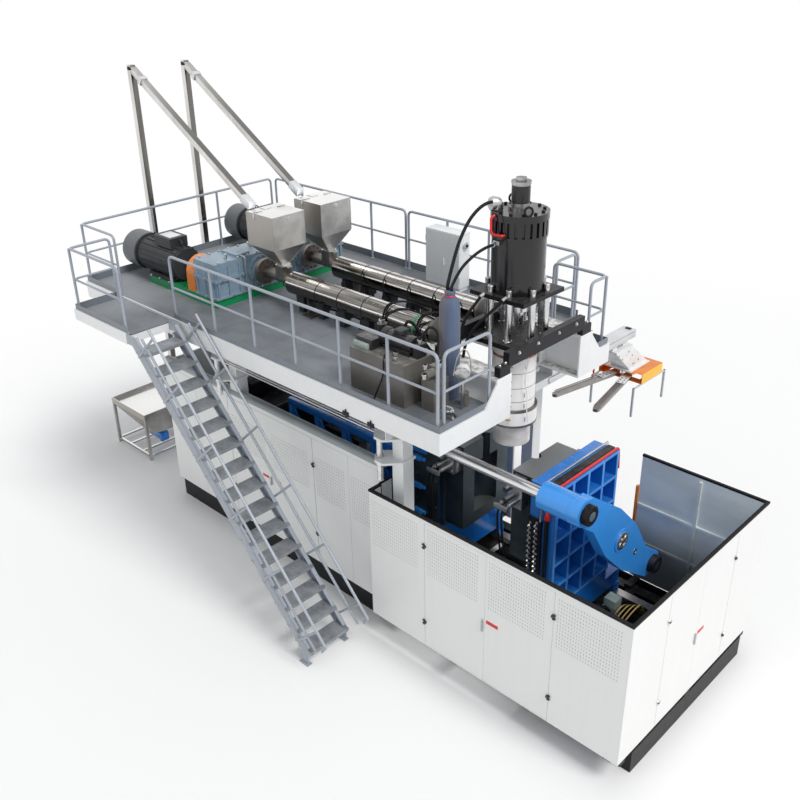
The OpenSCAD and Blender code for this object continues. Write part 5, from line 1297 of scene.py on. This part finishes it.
@dataclass
class Head(Assembly):
    """Rings, bands, valve block and bolts of the extrusion head, and its hoses."""

    radius: float = 0.265
    rods: int = 8
    rod_circle: float = 0.345
    sleeve_foot: tuple[float, float, float] = (-0.1, -1.06, 3.6205)

    def rod_places(self) -> list[tuple[float, float]]:
        """Returns X and Y of the rods between the plates."""
        return [(self.rod_circle * c, self.rod_circle * d)
                for c, d in compass(self.rods, math.pi / self.rods)]

    def bands(self) -> None:
        """Adds the copper and dark rings, the band clamps and their blank plates."""
        r = self.radius
        self.part("copper_rings", "copper").band((0, 0, 3.862), UP, 0.016, r - 0.02, r + 0.003, 64, True)
        dark = self.part("head_ring_edges", "dark_steel")
        wide, thin = (0.014, 0.25, 0.3), (0.0045, r - 0.02, r - 0.001)
        for z, size in ((2.972, wide), (3.17, wide), (3.662, thin), (3.47, thin), (3.291, thin)):
            dark.band((0, 0, z), UP, *size, 64, True)
        plate = self.part("band_plates", "brass")
        clamp = self.part("band_screws", "steel")
        for z, far in ((3.755, r), (3.565, r), (3.38, r), (3.235, r), (3.07, r + 0.033)):
            for part, degrees, half, high in ((plate, -62, 0.028, 0.012), (clamp, -22, 0.006, 0.03)):
                turn = Matrix.Rotation(math.radians(degrees), 4, "Z") @ Matrix.Translation((far, 0, 0))
                turn = Matrix.Translation((0, 0, z)) @ turn
                part.box((-0.004, -half, -high), (0.006, half, high), 0.002, turn)
                for dz in (-0.045, 0.045) if part is plate else ():
                    clamp.lathe([(0, 0.006), (0.01, 0.006)], turn @ Vector((0, 0, dz)),
                                turn.to_3x3() @ Vector(ALONG), 10)

    def top(self) -> None:
        """Adds bolts, eyes and the valve block on the push cylinder, and the rods' upper nuts."""
        screws = self.part("cylinder_bolts", "head_black")
        for c, d in compass(12, math.pi / 12):
            screws.lathe([(0, 0.02), (0.018, 0.02), (0.022, 0.015)], (0.27 * c, 0.27 * d, 5.56), UP, 16)
        for t in (-0.62, 2.5):
            out, aside = Vector((math.cos(t), math.sin(t), 0)), Vector((-math.sin(t), math.cos(t), 0))
            screws.tube([0.3 * out + 0.045 * c * aside + Vector((0, 0, 5.61 + 0.05 * d))
                         for c, d in [*compass(16), (1, 0)]], 0.013, 8)
        shiny = self.part("valve_block", "steel")
        shiny.box((-0.235, -0.25, 5.56), (-0.115, -0.15, 5.655), 0.01)
        shiny.rod((-0.175, -0.25, 5.61), (-0.175, -0.31, 5.61), 0.03)
        shiny.rod((-0.235, -0.2, 5.61), (-0.285, -0.2, 5.61), 0.026)
        shiny.rod((-0.175, -0.2, 5.655), (-0.175, -0.2, 5.7), 0.028)
        shiny.lathe([(0, 0.06), (0.02, 0.074), (0.09, 0.074), (0.12, 0.06), (0.125, 0.03)],
                    (-0.165, -0.165, 5.625), (-0.35, -0.85, 0.25), 28)
        shiny.box((-0.1, -0.345, 5.215), (-0.02, -0.3, 5.265), 0.006)
        for at in self.rod_places():
            shiny.lathe([(0, 0.037), (0.04, 0.037), (0.046, 0.031), (0.046, 0.016), (0.03, 0.015)],
                        (*at, 4.688), UP, 24)
        self.part("red_loop_pipe", "red").tube(rounded(
            [(-0.105, -0.318, 5.54), (-0.12, -0.362, 5.52), (-0.11, -0.366, 5.335), (0.035, -0.366, 5.345),
             (0.04, -0.322, 5.345)], 0.05, 6), 0.015, 12)

    def cage(self) -> None:
        """Adds the bands' cable, the sleeves on the rods between the plates, and the plate's bolts."""
        self.part("head_wires", "cabinet").hose(
            [(0.262, -0.11, 4.02), (0.3, -0.13, 3.85), (0.285, -0.15, 3.6), (0.3, -0.12, 3.4),
             (0.325, -0.15, 3.22), (0.33, -0.12, 3.05)], 0.006, 7, 8)
        sleeves = self.part("rod_sleeves", "chrome")
        for at in self.rod_places():
            sleeves.lathe([(0, 0.05), (0.03, 0.05), (0.032, 0.042), (0.468, 0.042), (0.47, 0.05),
                           (0.499, 0.05)], (*at, 4.0903), UP, 24)
        sleeves.bolts([(0.475, y, 4.15) for y in (-0.55, -0.2, 0.2, 0.55)], ALONG, 0.016, 0.014)

    def hoses(self) -> None:
        """Adds the smooth hoses with crimped fittings in place of the plain ones, and two thinner cables."""
        hose = self.part("smooth_hoses", "rubber")
        hose.hose([(-0.13, -1.06, 4.8853), (-0.13, -1.06, 4.94), (-0.17, -0.94, 5.12), (-0.21, -0.78, 5.34),
                   (-0.23, -0.6, 5.52), (-0.215, -0.44, 5.63), (-0.18, -0.31, 5.67), (-0.155, -0.205, 5.64),
                   (-0.155, -0.205, 5.5605)], 0.019, 6, 16)
        hose.hose([(-0.07, -1.06, 4.8853), (-0.07, -1.06, 4.94), (-0.06, -0.92, 5.1), (-0.06, -0.72, 5.19),
                   (-0.06, -0.52, 5.23), (-0.06, -0.308, 5.23)], 0.017, 6, 16)
        hose.hose([(-0.7, -1.2348, 4.25), (-0.7, -1.19, 4.25), (-0.68, -1.12, 4.38), (-0.62, -1.06, 4.33),
                   (-0.5, -1.04, 4.16), (-0.36, -1.05, 4.07), (-0.31, -1.06, 4.06), (-0.224, -1.06, 4.06)],
                  0.018, 6, 16)
        ends = self.part("hose_fittings", "steel")
        ends.rod((-0.155, -0.205, 5.5605), (-0.155, -0.205, 5.62), 0.028, 18)
        ends.rod((-0.06, -0.315, 5.23), (-0.06, -0.395, 5.23), 0.027, 18)
        ends.rod((-0.7, -1.235, 4.25), (-0.7, -1.195, 4.25), 0.025, 18)
        for run in (((-0.3, -0.72, 3.7), (-0.28, -0.62, 4.3), (-0.2, -0.42, 4.6)),
                    ((-0.2, -0.74, 3.7), (-0.16, -0.66, 4.2), (0.1, -0.4, 4.62))):
            hose.hose(run, 0.018, 8, 12)
            ends.rod(run[-1], Vector(run[-1]) + Vector((0.02, 0.05, 0.03)), 0.022, 14)
        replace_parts(hose.done(), "hoses")

    def sleeve(self) -> None:
        """Adds the cloth sleeve with its folds, its gathered neck and the red tie."""
        part = self.part("cloth_sleeve", "cloth")
        rng = random.Random(11)
        sides, rings = 48, []
        levels = ((0.0, 0.108), (0.03, 0.116), (0.2, 0.116), (0.4, 0.118), (0.6, 0.116), (0.8, 0.118),
                  (1.0, 0.114), (1.08, 0.112), (1.13, 0.104), (1.165, 0.088), (1.19, 0.058),
                  (1.205, 0.048), (1.225, 0.052), (1.25, 0.06), (1.264, 0.052))
        lobes = [rng.uniform(0.6, 1.4) * 0.0045 for _ in range(sides)]
        x, y, z = self.sleeve_foot
        for height, radius in levels:
            pinch, ring = 1.0 if height > 1.0 else 0.25, []
            for k, (c, d) in enumerate(compass(sides)):
                t = 2 * math.pi * k / sides
                fold = math.sin(t * 12 + height * 1.3) * lobes[k] * pinch
                out = radius + fold + math.sin(t * 5 + height * 3.1) * 0.0022
                ring.append((x + out * c, y + out * d, z + height))
            rings.append(ring)
        part.skin(rings)
        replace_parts(part.done(70), "hose_sleeve")
        tie = [(x + 0.053 * c, y + 0.053 * d, 4.826) for c, d in [*compass(24), (1, 0)]]
        self.part("sleeve_tie", "red").tube(tie, 0.007, 8)

    def shapes(self) -> None:
        """Adds everything on the head."""
        self.bands()
        self.top()
        self.cage()
        self.hoses()
        self.sleeve()


@dataclass
class Hydraulics(Assembly):
    """Motor, filter, valves and cables of the hydraulic group beside the head."""

    motor: tuple[float, float] = (-1.33, 4.25)
    filter: tuple[float, float, float] = (0.24, -1.24, 4.06)
    filter_axis: tuple[float, float, float] = (0.5, -0.75, -0.1)

    def shapes(self) -> None:
        """Adds the hydraulic group's details."""
        self.part("junction_box", "light_green").box((-1.08, -1.6, 4.13), (-0.86, -1.5, 4.2), 0.006)
        motor = self.part("pump_motor", "motor")
        for k in range(9):
            turn = Matrix.Translation((0, *self.motor)) @ Matrix.Rotation(math.radians(20 * k - 80), 4, "X")
            motor.box((-0.66, -0.004, 0.088), (-0.46, 0.004, 0.116), 0.001, turn)
        motor.lathe([(0, 0.06), (0.0, 0.104), (0.075, 0.108), (0.085, 0.09), (0.09, 0.02)],
                    (-0.745, *self.motor), (-1, 0, 0))
        motor.box((-0.63, -1.395, 4.34), (-0.51, -1.265, 4.395), 0.008)
        back = -Vector(self.filter_axis)
        self.part("round_filter", "cabinet", slot="white_paint") \
            .lathe([(0, 0.06), (0.01, 0.078), (0.09, 0.078), (0.1, 0.07)], self.filter, back)
        self.part("filter_cap", "steel") \
            .lathe([(0, 0.084), (0.02, 0.084), (0.034, 0.062), (0.038, 0.02)],
                   self.filter, self.filter_axis) \
            .rod((0.225, -1.215, 3.62), (0.225, -1.215, 3.99), 0.016, 16)
        chrome = self.part("valve_fittings", "steel")
        for x, y, z, r in ((-0.02, -1.56, 4.06, 0.024), (-0.06, -1.5, 4.14, 0.022),
                           (0.02, -1.36, 4.14, 0.022), (-0.05, -1.3, 4.14, 0.02),
                           (-0.3, -1.33, 4.31, 0.022), (-0.96, -1.25, 4.35, 0.03),
                           (-0.5, -1.5, 4.16, 0.026), (-0.42, -1.58, 4.15, 0.02)):
            chrome.rod((x, y, z - 0.03), (x, y, z + 0.03), r, 16)
            chrome.lathe([(0, r * 1.3), (0.016, r * 1.3), (0.018, r)], (x, y, z + 0.012), UP, 6)
        for k in range(3):
            chrome.rod((0.24 + 0.05 * k, -1.46, 3.66), (0.24 + 0.05 * k, -1.54, 3.72 + 0.02 * k), 0.016, 12)
        chrome.hose([(0.16, -1.42, 3.66), (0.2, -1.46, 3.74), (0.28, -1.44, 3.72),
                     (0.34, -1.5, 3.64)], 0.014, 6)
        chrome.hose([(0.08, -1.2, 3.98), (0.1, -1.15, 4.2), (0.16, -1.1, 4.28), (0.22, -1.08, 4.16),
                     (0.22, -1.08, 4.0)], 0.008, 7, 8)
        cable = self.part("tank_cable", "rubber")
        cable.hose([(-0.6, -1.41, 4.36), (-0.56, -1.62, 4.15), (-0.55, -1.66, 3.95), (-0.6, -1.68, 3.8),
                    (-0.66, -1.7, 3.634)], 0.009, 7, 8)
        cable.hose([(-0.3, -1.33, 4.34), (-0.25, -1.22, 4.46), (-0.15, -1.2, 4.4),
                    (-0.06, -1.3, 4.17)], 0.014)
        cable.hose([(-0.96, -1.25, 4.38), (-0.92, -1.0, 4.44), (-0.8, -0.8, 4.36),
                    (-0.72, -0.62, 4.25)], 0.011, 7, 8)


@dataclass
class Clamp(Assembly):
    """Fittings, pipes and clamps on the two platens, the moulds and the yoke, and what shows round them."""

    bars: tuple[tuple[float, float], ...] = ((-0.831, 2.699), (0.831, 1.131))
    side_y: float = -0.6
    out: tuple[float, float, float] = (0, -1, 0)
    frame_x: float = -3.62
    bay: float = 0.57

    def slide_unit(self, side: str, x: float, z: float, run: Sequence[Point], apart: float) -> None:
        """Adds a slide with two cylinders, rods, a crosspiece and two hoses on a mould's near side.

        Args:
            side: left or right.
            x: middle of the unit.
            z: height of the unit.
            run: the points of the first hose.
            apart: how far along X the second hose is.
        """
        y = self.side_y
        part = self.part(f"slide_unit_{side}", "steel", f"clamp_{side}")
        part.box((x - 0.1, y, z - 0.14), (x + 0.1, -0.45, z + 0.16), 0.006)
        for dx in (-0.055, 0.055):
            part.rod((x + dx, y, z), (x + dx, -0.8, z), 0.03)
            part.rod((x + dx, -0.8, z), (x + dx, -0.86, z), 0.014, 14)
        part.box((x - 0.1, -0.885, z - 0.03), (x + 0.1, -0.855, z + 0.03), 0.005)
        part.box((x - 0.12, -0.56, z + 0.16), (x - 0.06, -0.3, z + 0.19), 0.004)
        part.bolts([(x + dx, y, z + dz) for dz in (-0.09, 0.1) for dx in (-0.07, 0.07)],
                   self.out, 0.012, 0.012)
        hose = self.part(f"slide_hoses_{side}", "rubber", f"clamp_{side}")
        for dx in (0.0, apart):
            hose.hose([Vector(p) + Vector((dx, 0, 0)) for p in run], 0.013)

    def left(self) -> None:
        """Adds the mould clamps, the side plate and the pipe of the left platen, and its slide unit."""
        blue = self.part("mould_clamps_left", "yoke", "clamp_left")
        for z in (2.3, 1.88, 1.49):
            blue.box((-1.04, -0.7, z - 0.035), (-0.9, -0.62, z + 0.035), 0.008)
            blue.box((-0.95, -0.685, z - 0.022), (-0.84, -0.6, z + 0.022), 0.006)
        plate = self.part("platen_side_left", "mould", "clamp_left")
        plate.box((-1.04, -0.662, 0.98), (-0.62, -0.64, 2.62), 0.004)
        plate.bolts([(x, -0.662, z) for z in (1.05, 1.35, 1.65, 2.05, 2.5) for x in (-1.0, -0.66)],
                    self.out, 0.014, 0.012)
        pipe = self.part("platen_pipes_left", "stainless", "clamp_left")
        pipe.rod((-1.068, -0.665, 1.1), (-1.068, -0.665, 2.44), 0.02, 16)
        self.slide_unit("left", -0.52, 2.36, ((-0.55, -0.76, 2.38), (-0.6, -0.84, 2.3), (-0.66, -0.82, 2.0),
                                              (-0.7, -0.74, 1.6), (-0.72, -0.7, 1.2)), 0.07)

    def right(self) -> None:
        """Adds the bars, the water fittings, the red pipe and painted highlights on the ribs' edges of the
        right platen.
        """
        dark = self.part("water_manifold", "head_black", "clamp_right")
        dark.box((0.795, -0.668, 1.02), (0.985, -0.64, 2.2), 0.003)
        dark.box((1.034, -0.69, 0.95), (1.074, -0.64, 2.26), 0.008)
        dark.box((1.005, -0.62, 2.665), (1.105, 0.63, 2.69), 0.004)
        fit = self.part("water_fittings", "chrome", "clamp_right")
        for z in (1.12 + k * 0.072 for k in range(15)):
            for x, dz in ((0.835, 0.0), (0.925, 0.03)):
                fit.lathe([(0, 0.018), (0.016, 0.018), (0.018, 0.012), (0.05, 0.012), (0.052, 0.016),
                           (0.066, 0.014)], (x, -0.668, z + dz), (0.1, -1, -0.35), 10)
        fit.box((0.952, -0.655, 2.665), (0.978, 0.69, 2.692), 0.003)
        fit.rod((0.975, -0.675, 2.2), (0.975, -0.675, 2.44), 0.016, 14)
        red = self.part("red_pipe", "red", "clamp_right")
        red.tube(rounded([(1.135, -0.62, 2.684), (1.135, 0.655, 2.684), (1.15, 0.66, 2.4)], 0.05, 6),
                 0.018, 14)
        red.lathe([(0, 0.036), (0.05, 0.036), (0.09, 0.022), (0.11, 0.01)], (1.062, -0.668, 2.262), UP, 20)
        self.slide_unit("right", 0.54, 2.3, ((0.5, -0.76, 2.3), (0.49, -0.86, 2.2), (0.47, -0.8, 1.8),
                                             (0.48, -0.72, 1.4), (0.52, -0.68, 1.1)), 0.06)
        # Painted highlights: lighter blue strips on the front edges of the ribs.
        edge = self.part("rib_edge_highlights", "rib_edge_highlight", "clamp_right")
        for y in (-0.64 + k * 0.31 for k in range(5)):
            edge.box((1.158, y - 0.0005, 0.905), (1.1612, y + 0.0405, 2.66), 0.001)
        for z in (0.9 + k * 0.345 for k in range(6)):
            edge.box((1.1575, -0.638, z - 0.0005), (1.1608, 0.638, z + 0.0405), 0.001)

    def yoke(self) -> None:
        """Adds the ribbed nuts, the round covers and the weld beads of the yoke."""
        nut = self.part("tie_bar_nuts", "head_black", "clamp_left")
        bead = self.part("yoke_weld_beads", "yoke", "clamp_left")
        ribs = [(0.0, 0.116)]
        for a in (0.004 + k * 0.011 for k in range(7)):
            ribs += [(a, 0.121), (a + 0.006, 0.121), (a + 0.008, 0.114), (a + 0.01, 0.114)]
        ribs += [(0.084, 0.11), (0.084, 0.06), (0.06, 0.055)]
        for bar in self.bars:
            nut.lathe(ribs, (1.661, *bar), ALONG, 48)
            for x, r in ((1.516, 0.168), (1.112, 0.16), (1.65, 0.166)):
                bead.lathe([(-0.006, r - 0.01), (-0.004, r + 0.001), (0.004, r + 0.001), (0.006, r - 0.01)],
                           (x, *bar), ALONG, 48)
        disc = self.part("yoke_cover", "steel", "clamp_left")
        disc.lathe([(0, 0.112), (0.012, 0.112), (0.016, 0.104), (0.016, 0.088), (0.008, 0.086),
                    (0.008, 0.034), (0.02, 0.032), (0.022, 0.024)], (1.672, 0, 1.915), ALONG, 48)
        for k in range(6):
            turn = Matrix.Translation((1.68, 0, 1.915)) @ Matrix.Rotation(math.pi * k / 3, 4, "X")
            disc.box((0, -0.006, 0.03), (0.009, 0.006, 0.092), 0.001, turn)
        disc.lathe([(0, 0.04), (0.006, 0.04), (0.008, 0.034), (0.008, 0.022), (0.002, 0.02)],
                   (1.66, 0.36, 1.56), ALONG)

    def back_frame(self) -> None:
        """Adds the blue braced frame, the machinery in the middle cabinet, and a black floor pan under the
        clamp that also paints the shade there.
        """
        blue = self.part("clamp_back_frame", "blue")
        posts = [self.frame_x + self.bay * k for k in range(5)]
        for y in (-0.62, 0.54):
            for low, high in ((2.13, 2.235), (1.2, 1.3)):
                blue.box((self.frame_x, y, low), (-1.25, y + 0.08, high), 0.006)
            for x in posts:
                blue.box((x, y + 0.002, 1.3), (x + 0.09, y + 0.078, 2.13), 0.006)
            for x in posts[:-1]:
                blue.sheet([(x + 0.09, y + 0.03, 2.1), (x + self.bay, y + 0.03, 1.34),
                            (x + self.bay, y + 0.03, 1.299), (x + 0.09, y + 0.03, 1.99)], (0, 0.02, 0))
        for x in posts:
            blue.box((x, -0.54, 2.132), (x + 0.09, 0.54, 2.23), 0.006)
        blue.box((-2.6, -0.535, 2.05), (-1.27, 0.535, 2.062))
        dark = self.part("cabinet_machinery", "head_black")
        for low, high, bevel in (((-5.4, -0.95, 1.3), (-3.9, 0.95, 1.9), 0.01),
                                 ((-5.1, -0.6, 1.9), (-4.5, 0.2, 2.15), 0.01),
                                 ((-3.66, -1.28, 0.42), (-0.98, 1.28, 0.46), 0.002),
                                 ((-5.6, -1.29, 0.42), (-3.7, 1.29, 0.46), 0.002)):
            dark.box(low, high, bevel)
        dark.rod((-3.8, -0.75, 2.02), (-3.8, 0.8, 2.02), 0.045)
        self.part("cabinet_valves", "red").box((-4.12, -0.93, 1.9), (-3.92, -0.85, 1.96), 0.006) \
            .lathe([(0, 0.05), (0.02, 0.07), (0.09, 0.07), (0.11, 0.04)], (-4.3, -0.78, 1.9), UP, 24)
        # Black floor pan under the clamp, which also paints the shade on the floor there.
        self.part("floor_pan_shade", "black").box((-0.88, -1.04, 0.002), (2.66, 1.36, 0.008), 0.001)

    def floor(self) -> None:
        """Adds the valve station and the pipes between the clamp rails."""
        self.part("valve_station", "light_green").box((1.35, 0.28, 0.45), (1.52, 0.44, 0.74), 0.008)
        fit = self.part("valve_station_fittings", "steel").box((1.36, 0.29, 0.32), (1.51, 0.43, 0.45), 0.004)
        pipes = self.part("clamp_hoses", "rubber")
        loops = self.part("clamp_pipes", "brass")
        for x, d in ((1.365 + 0.045 * k, 0.05 * k) for k in range(4)):
            fit.rod((x, 0.28, 0.62), (x, 0.2, 0.64), 0.016, 14)
            loops.hose([(1.56 + d, 0.05, 0.34), (1.58 + d, 0.12, 0.6), (1.62 + d, 0.28 + d, 0.74),
                        (1.66 + d, 0.5, 0.62), (1.68 + d, 0.72, 0.36)], 0.012)
            pipes.hose([(x, 0.2, 0.64), (1.34 + d, 0.05, 0.72 + d * 0.5), (1.42 + d, -0.1, 0.6),
                        (1.5 + d, -0.2, 0.42), (1.6 + d, -0.3, 0.325)], 0.017)

    def shapes(self) -> None:
        """Adds everything on the clamp."""
        self.left()
        self.right()
        self.yoke()
        self.back_frame()
        self.floor()


@dataclass
class Robot(Assembly):
    """Plates, painted shade in the holes, legs, cables and rails of the take-out robot."""

    arm_pivot: tuple[float, float] = (0.095, 2.56)
    arm_turn: float = 11.3
    arm_top: float = 2.6622
    leg_x: float = 0.335
    hook: tuple[float, float, float] = (-0.385, 2.5, 2.6)

    def arms(self) -> None:
        """Adds the root plates with black discs that paint the shade in their holes, and the raised lips of
        the two gripper arms.
        """
        for side, body in ((-1, "grip_arm_a"), (1, "grip_arm_b")):
            x, y = self.arm_pivot
            spin = Matrix.Rotation(math.radians(side * self.arm_turn), 4, "Z")
            turn = Matrix.Translation((side * x, y, self.arm_top)) @ spin
            plate = self.part(f"root_plate_{body}", "white", body, "robot_white")
            plate.box((-0.066, -0.34, 0.0), (0.066, -0.062, 0.004), 0.001, turn)
            # Black discs paint the shade in the plate's holes.
            holes = self.part(f"root_hole_shade_{body}", "head_black", body)
            for at in (turn @ Vector((a, b, 0.0042)) for b in (-0.3, -0.23, -0.16) for a in (-0.03, 0.03)):
                holes.lathe([(0, 0.013), (0.0006, 0.013)], at, UP, 14)
            lip = self.part(f"arm_lips_{body}", "arm", body)
            for a in (-0.045, 0.039):
                lip.box((a, -1.16, -0.002), (a + 0.006, -0.345, 0.012), 0.001, turn)

    def shapes(self) -> None:
        """Adds the details of the arms, the carriage and the beam."""
        self.arms()
        body, (x, y, z) = "robot_carriage", self.hook
        # Black discs paint the shade in the brackets' holes.
        holes = self.part("bracket_hole_shade", "head_black", body)
        for side in (-1, 1):
            for at in ((2.17, 3.08), (2.26, 3.0), (2.42, 3.07), (2.52, 2.98), (2.7, 2.86), (2.56, 2.84)):
                holes.lathe([(0, 0.012), (0.0006, 0.012)], (side * 0.1501, *at), (side, 0, 0), 14)
        ring = self.part("red_hook", "red", body)
        ring.tube([(x, y + 0.078 * c, z + 0.078 * d) for c, d in compass(24, math.radians(70))[:18]], 0.014)
        ring.tube([(-0.16, 2.62, 3.05), (-0.165, 2.6, 2.8), (-0.18, 2.59, 2.75)], 0.018)
        legs = self.part("carriage_legs", "leg", body)
        for leg in ((a * self.leg_x, b) for a in (-1, 1) for b in (2.32, 3.15)):
            legs.rod((*leg, 2.16), (*leg, 2.6), 0.018, 16)
        self.part("beam_cables", "orange").box((-0.128, 0.4, 3.195), (-0.104, 2.4, 3.203))
        grey = self.part("beam_rails", "aluminium")
        grey.box((-0.19, 0.4, 3.19), (-0.16, 2.45, 3.215), 0.003)
        grey.box((-0.24, 0.4, 3.18), (-0.22, 2.3, 3.195), 0.003)
        for start in (0.42, 1.25, 2.2):
            grey.box((-0.245, start, 3.175), (-0.1, start + 0.05, 3.1895), 0.003)
        grey.box((0.1005, 0.6, 3.225), (0.112, 2.62, 3.3))
        self.part("beam_end_stop", "head_black").box((-0.04, 2.58, 3.321), (0.04, 2.63, 3.33))


@dataclass
class FloorBin(Assembly):
    """Rolled rim, leg feet and the blue screw motor of the floor bin, and the loader tubes."""

    rim: tuple[float, float, float, float] = (-8.102, -7.046, -1.095, 0.694)
    rim_z: float = 0.896
    half: float = 0.046

    def shapes(self) -> None:
        """Adds the bin's and the loader tubes' details."""
        west, east, near, far = self.rim
        corners = [(west, near), (east, near), (east, far), (west, far), (west, near + 0.002)]
        self.part("bin_rim", "stainless") \
            .tube(rounded([(*at, self.rim_z) for at in corners], 0.01, 3), 0.007, 8)
        feet = self.part("bin_feet", "rubber", slot="rim_rubber")
        for at in ((x, y, 0.0002) for x in (-8.0875, -7.0625) for y in (-1.0775, 0.6775)):
            feet.lathe([(0, 0.022), (0.008, 0.0222), (0.012, 0.0225)], at, UP, 16)
        motor = self.part("bin_motor", "blue")
        motor.rod((-7.46, -0.74, 0.33), (-7.14, -0.74, 0.33), 0.085, 28, 0.01)
        motor.box((-7.14, -0.82, 0.25), (-7.07, -0.66, 0.42), 0.01)
        motor.box((-7.4, -0.79, 0.41), (-7.26, -0.7, 0.455), 0.008)
        tubes = self.part("square_loader_tubes", "tube")
        collar = self.part("loader_collars", "aluminium", slot="stainless")
        dark = self.part("loader_bearings", "head_black")
        h = self.half
        for x, y, top, end in ((-6.98, -0.43, 6.59, (-4.08, -0.6, 4.99)),
                               (-6.85, 0.43, 6.58, (-4.08, 0.26, 5.01))):
            tubes.box((x - h, y - h, 0.64), (x + h, y + h, top), 0.003)
            start = Vector((x + 0.04, y, top - 0.06))
            run = Vector(end) - start
            turn = Matrix.Translation(start) @ run.to_track_quat("X", "Z").to_matrix().to_4x4()
            tubes.box((0.0, -h, -h), (run.length - 0.02, h, h), 0.003, turn)
            collar.box((0.26, -0.058, -0.058), (0.33, 0.058, 0.058), 0.003, turn)
            collar.box((run.length - 0.21, -0.054, -0.054), (run.length, 0.054, 0.054), 0.004, turn)
            dark.rod((x + 0.01, y - 0.062, top - 0.045), (x + 0.01, y + 0.062, top - 0.045), 0.028, 18)
        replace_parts(tubes.done(), "loader_tubes")


@dataclass
class SwitchCabinet(Assembly):
    """Round switch and rain lip of the grey cabinet."""

    switch: tuple[float, float] = (1.605, 4.31)

    def shapes(self) -> None:
        """Adds the cabinet's details."""
        self.part("main_switch", "steel") \
            .lathe([(0, 0.052), (0.012, 0.052), (0.016, 0.044)], (-2.123, *self.switch), ALONG)
        self.part("switch_knob", "head_black") \
            .lathe([(0, 0.024), (0.01, 0.022), (0.012, 0.014)], (-2.107, *self.switch), ALONG, 24) \
            .box((-2.097, 1.6, 4.292), (-2.087, 1.61, 4.328), 0.003)
        self.part("cabinet_lip", "cabinet").box((-2.786, 1.486, 4.4705), (-2.139, 1.716, 4.482), 0.003)


@dataclass
class Studio:
    """Pale floor, soft lamps and the camera at the photograph's angle."""

    position: tuple[float, float, float] = (6.11, -8.19, 8.4)
    azimuth: float = 44.446
    elevation: float = 27.075
    roll: float = 1.1946
    lens: float = 42.0
    floor_half: float = 60.0
    sky: Color = (0.955, 0.975, 1.0)
    sky_strength: float = 0.6
    sun: Color = (1.0, 0.985, 0.96)
    sun_strength: float = 1.75
    sun_angle: float = 22.0
    toward_sun: tuple[float, float, float] = (0.62, -0.02, 0.78)

    def camera(self) -> None:
        """Places the camera."""
        a, e, r = (math.radians(v) for v in (self.azimuth, self.elevation, self.roll))
        back = Vector((math.sin(a) * math.cos(e), -math.cos(a) * math.cos(e), math.sin(e)))
        forward = -back
        right = forward.cross(Vector((0, 0, 1))).normalized()
        down = forward.cross(right)
        row_x = math.cos(r) * right + math.sin(r) * down
        row_y = -math.sin(r) * right + math.cos(r) * down
        data = bpy.data.cameras.new("camera")
        data.lens, data.sensor_width, data.sensor_fit = self.lens, 36.0, "HORIZONTAL"
        data.clip_end = 200.0
        obj = bpy.data.objects.new("camera", data)
        axes = Matrix((row_x, -row_y, back)).transposed().to_4x4()
        obj.matrix_world = Matrix.Translation(Vector(self.position)) @ axes
        bpy.context.scene.collection.objects.link(obj)
        bpy.context.scene.camera = obj

    def floor(self) -> None:
        """Lays the pale floor."""
        mesh = bpy.data.meshes.new("studio_floor")
        half, z = self.floor_half, -0.001
        mesh.from_pydata([(-half, -half, z), (half, -half, z),
                          (half, half, z), (-half, half, z)], [], [(0, 1, 2, 3)])
        s = Shader("pale_floor")
        tone = s.blend(s.noise(0.2, detail=2), (0.955, 0.955, 0.955), (0.965, 0.965, 0.965))
        far = s.node("ShaderNodeVectorMath", {"operation": "LENGTH"}, {0: s.place()}, "Value").step(9.0, 17.0)
        glow = s.node("ShaderNodeEmission", inputs={"Color": WHITE, "Strength": 1.0})
        faded = s.node("ShaderNodeMixShader", inputs={0: far, 1: s.surface(tone, 0.85), 2: glow})
        mesh.materials.append(s.close(faded))
        obj = bpy.data.objects.new("studio_floor", mesh)
        bpy.context.scene.collection.objects.link(obj)

    def light(self) -> None:
        """Sets the sky, which cameras and mirrors see as plain white, and the soft key light."""
        world = bpy.data.worlds.new("studio")
        bpy.context.scene.world = world
        s = Shader("studio", world)
        camera, through, mirror = (s.node("ShaderNodeLightPath", output=f"Is {ray} Ray")
                                   for ray in ("Camera", "Transmission", "Glossy"))
        sky = s.node("ShaderNodeBackground",
                     inputs={"Color": (*self.sky, 1.0), "Strength": self.sky_strength})
        white = s.node("ShaderNodeBackground", inputs={"Color": WHITE})
        seen = (camera + through + mirror).clamped()
        s.close(s.node("ShaderNodeMixShader", inputs={0: seen, 1: sky, 2: white}), "ShaderNodeOutputWorld")
        sun = bpy.data.lights.new("key", "SUN")
        sun.energy, sun.angle, sun.color = self.sun_strength, math.radians(self.sun_angle), self.sun
        obj = bpy.data.objects.new("key", sun)
        obj.rotation_euler = Vector(self.toward_sun).normalized().to_track_quat("Z", "Y").to_euler()
        bpy.context.scene.collection.objects.link(obj)

    def build(self) -> None:
        """Builds the studio."""
        self.camera()
        self.floor()
        self.light()
        bpy.context.scene.view_settings.view_transform = "Standard"


def main() -> None:
    """Builds the looks of the machine, piece by piece."""
    logging.basicConfig(level=logging.INFO, format="%(name)s: %(message)s")
    finishes = Finishes()
    for kind in (Louvres, Enclosure, Railings, Platform, Stair, Extruders, Head, Hydraulics, Clamp, Robot,
                 FloorBin, SwitchCabinet):
        log.info("building %s", kind.__name__)
        kind(finishes).build()
    Studio().build()


if __name__ == "__main__":
    main()
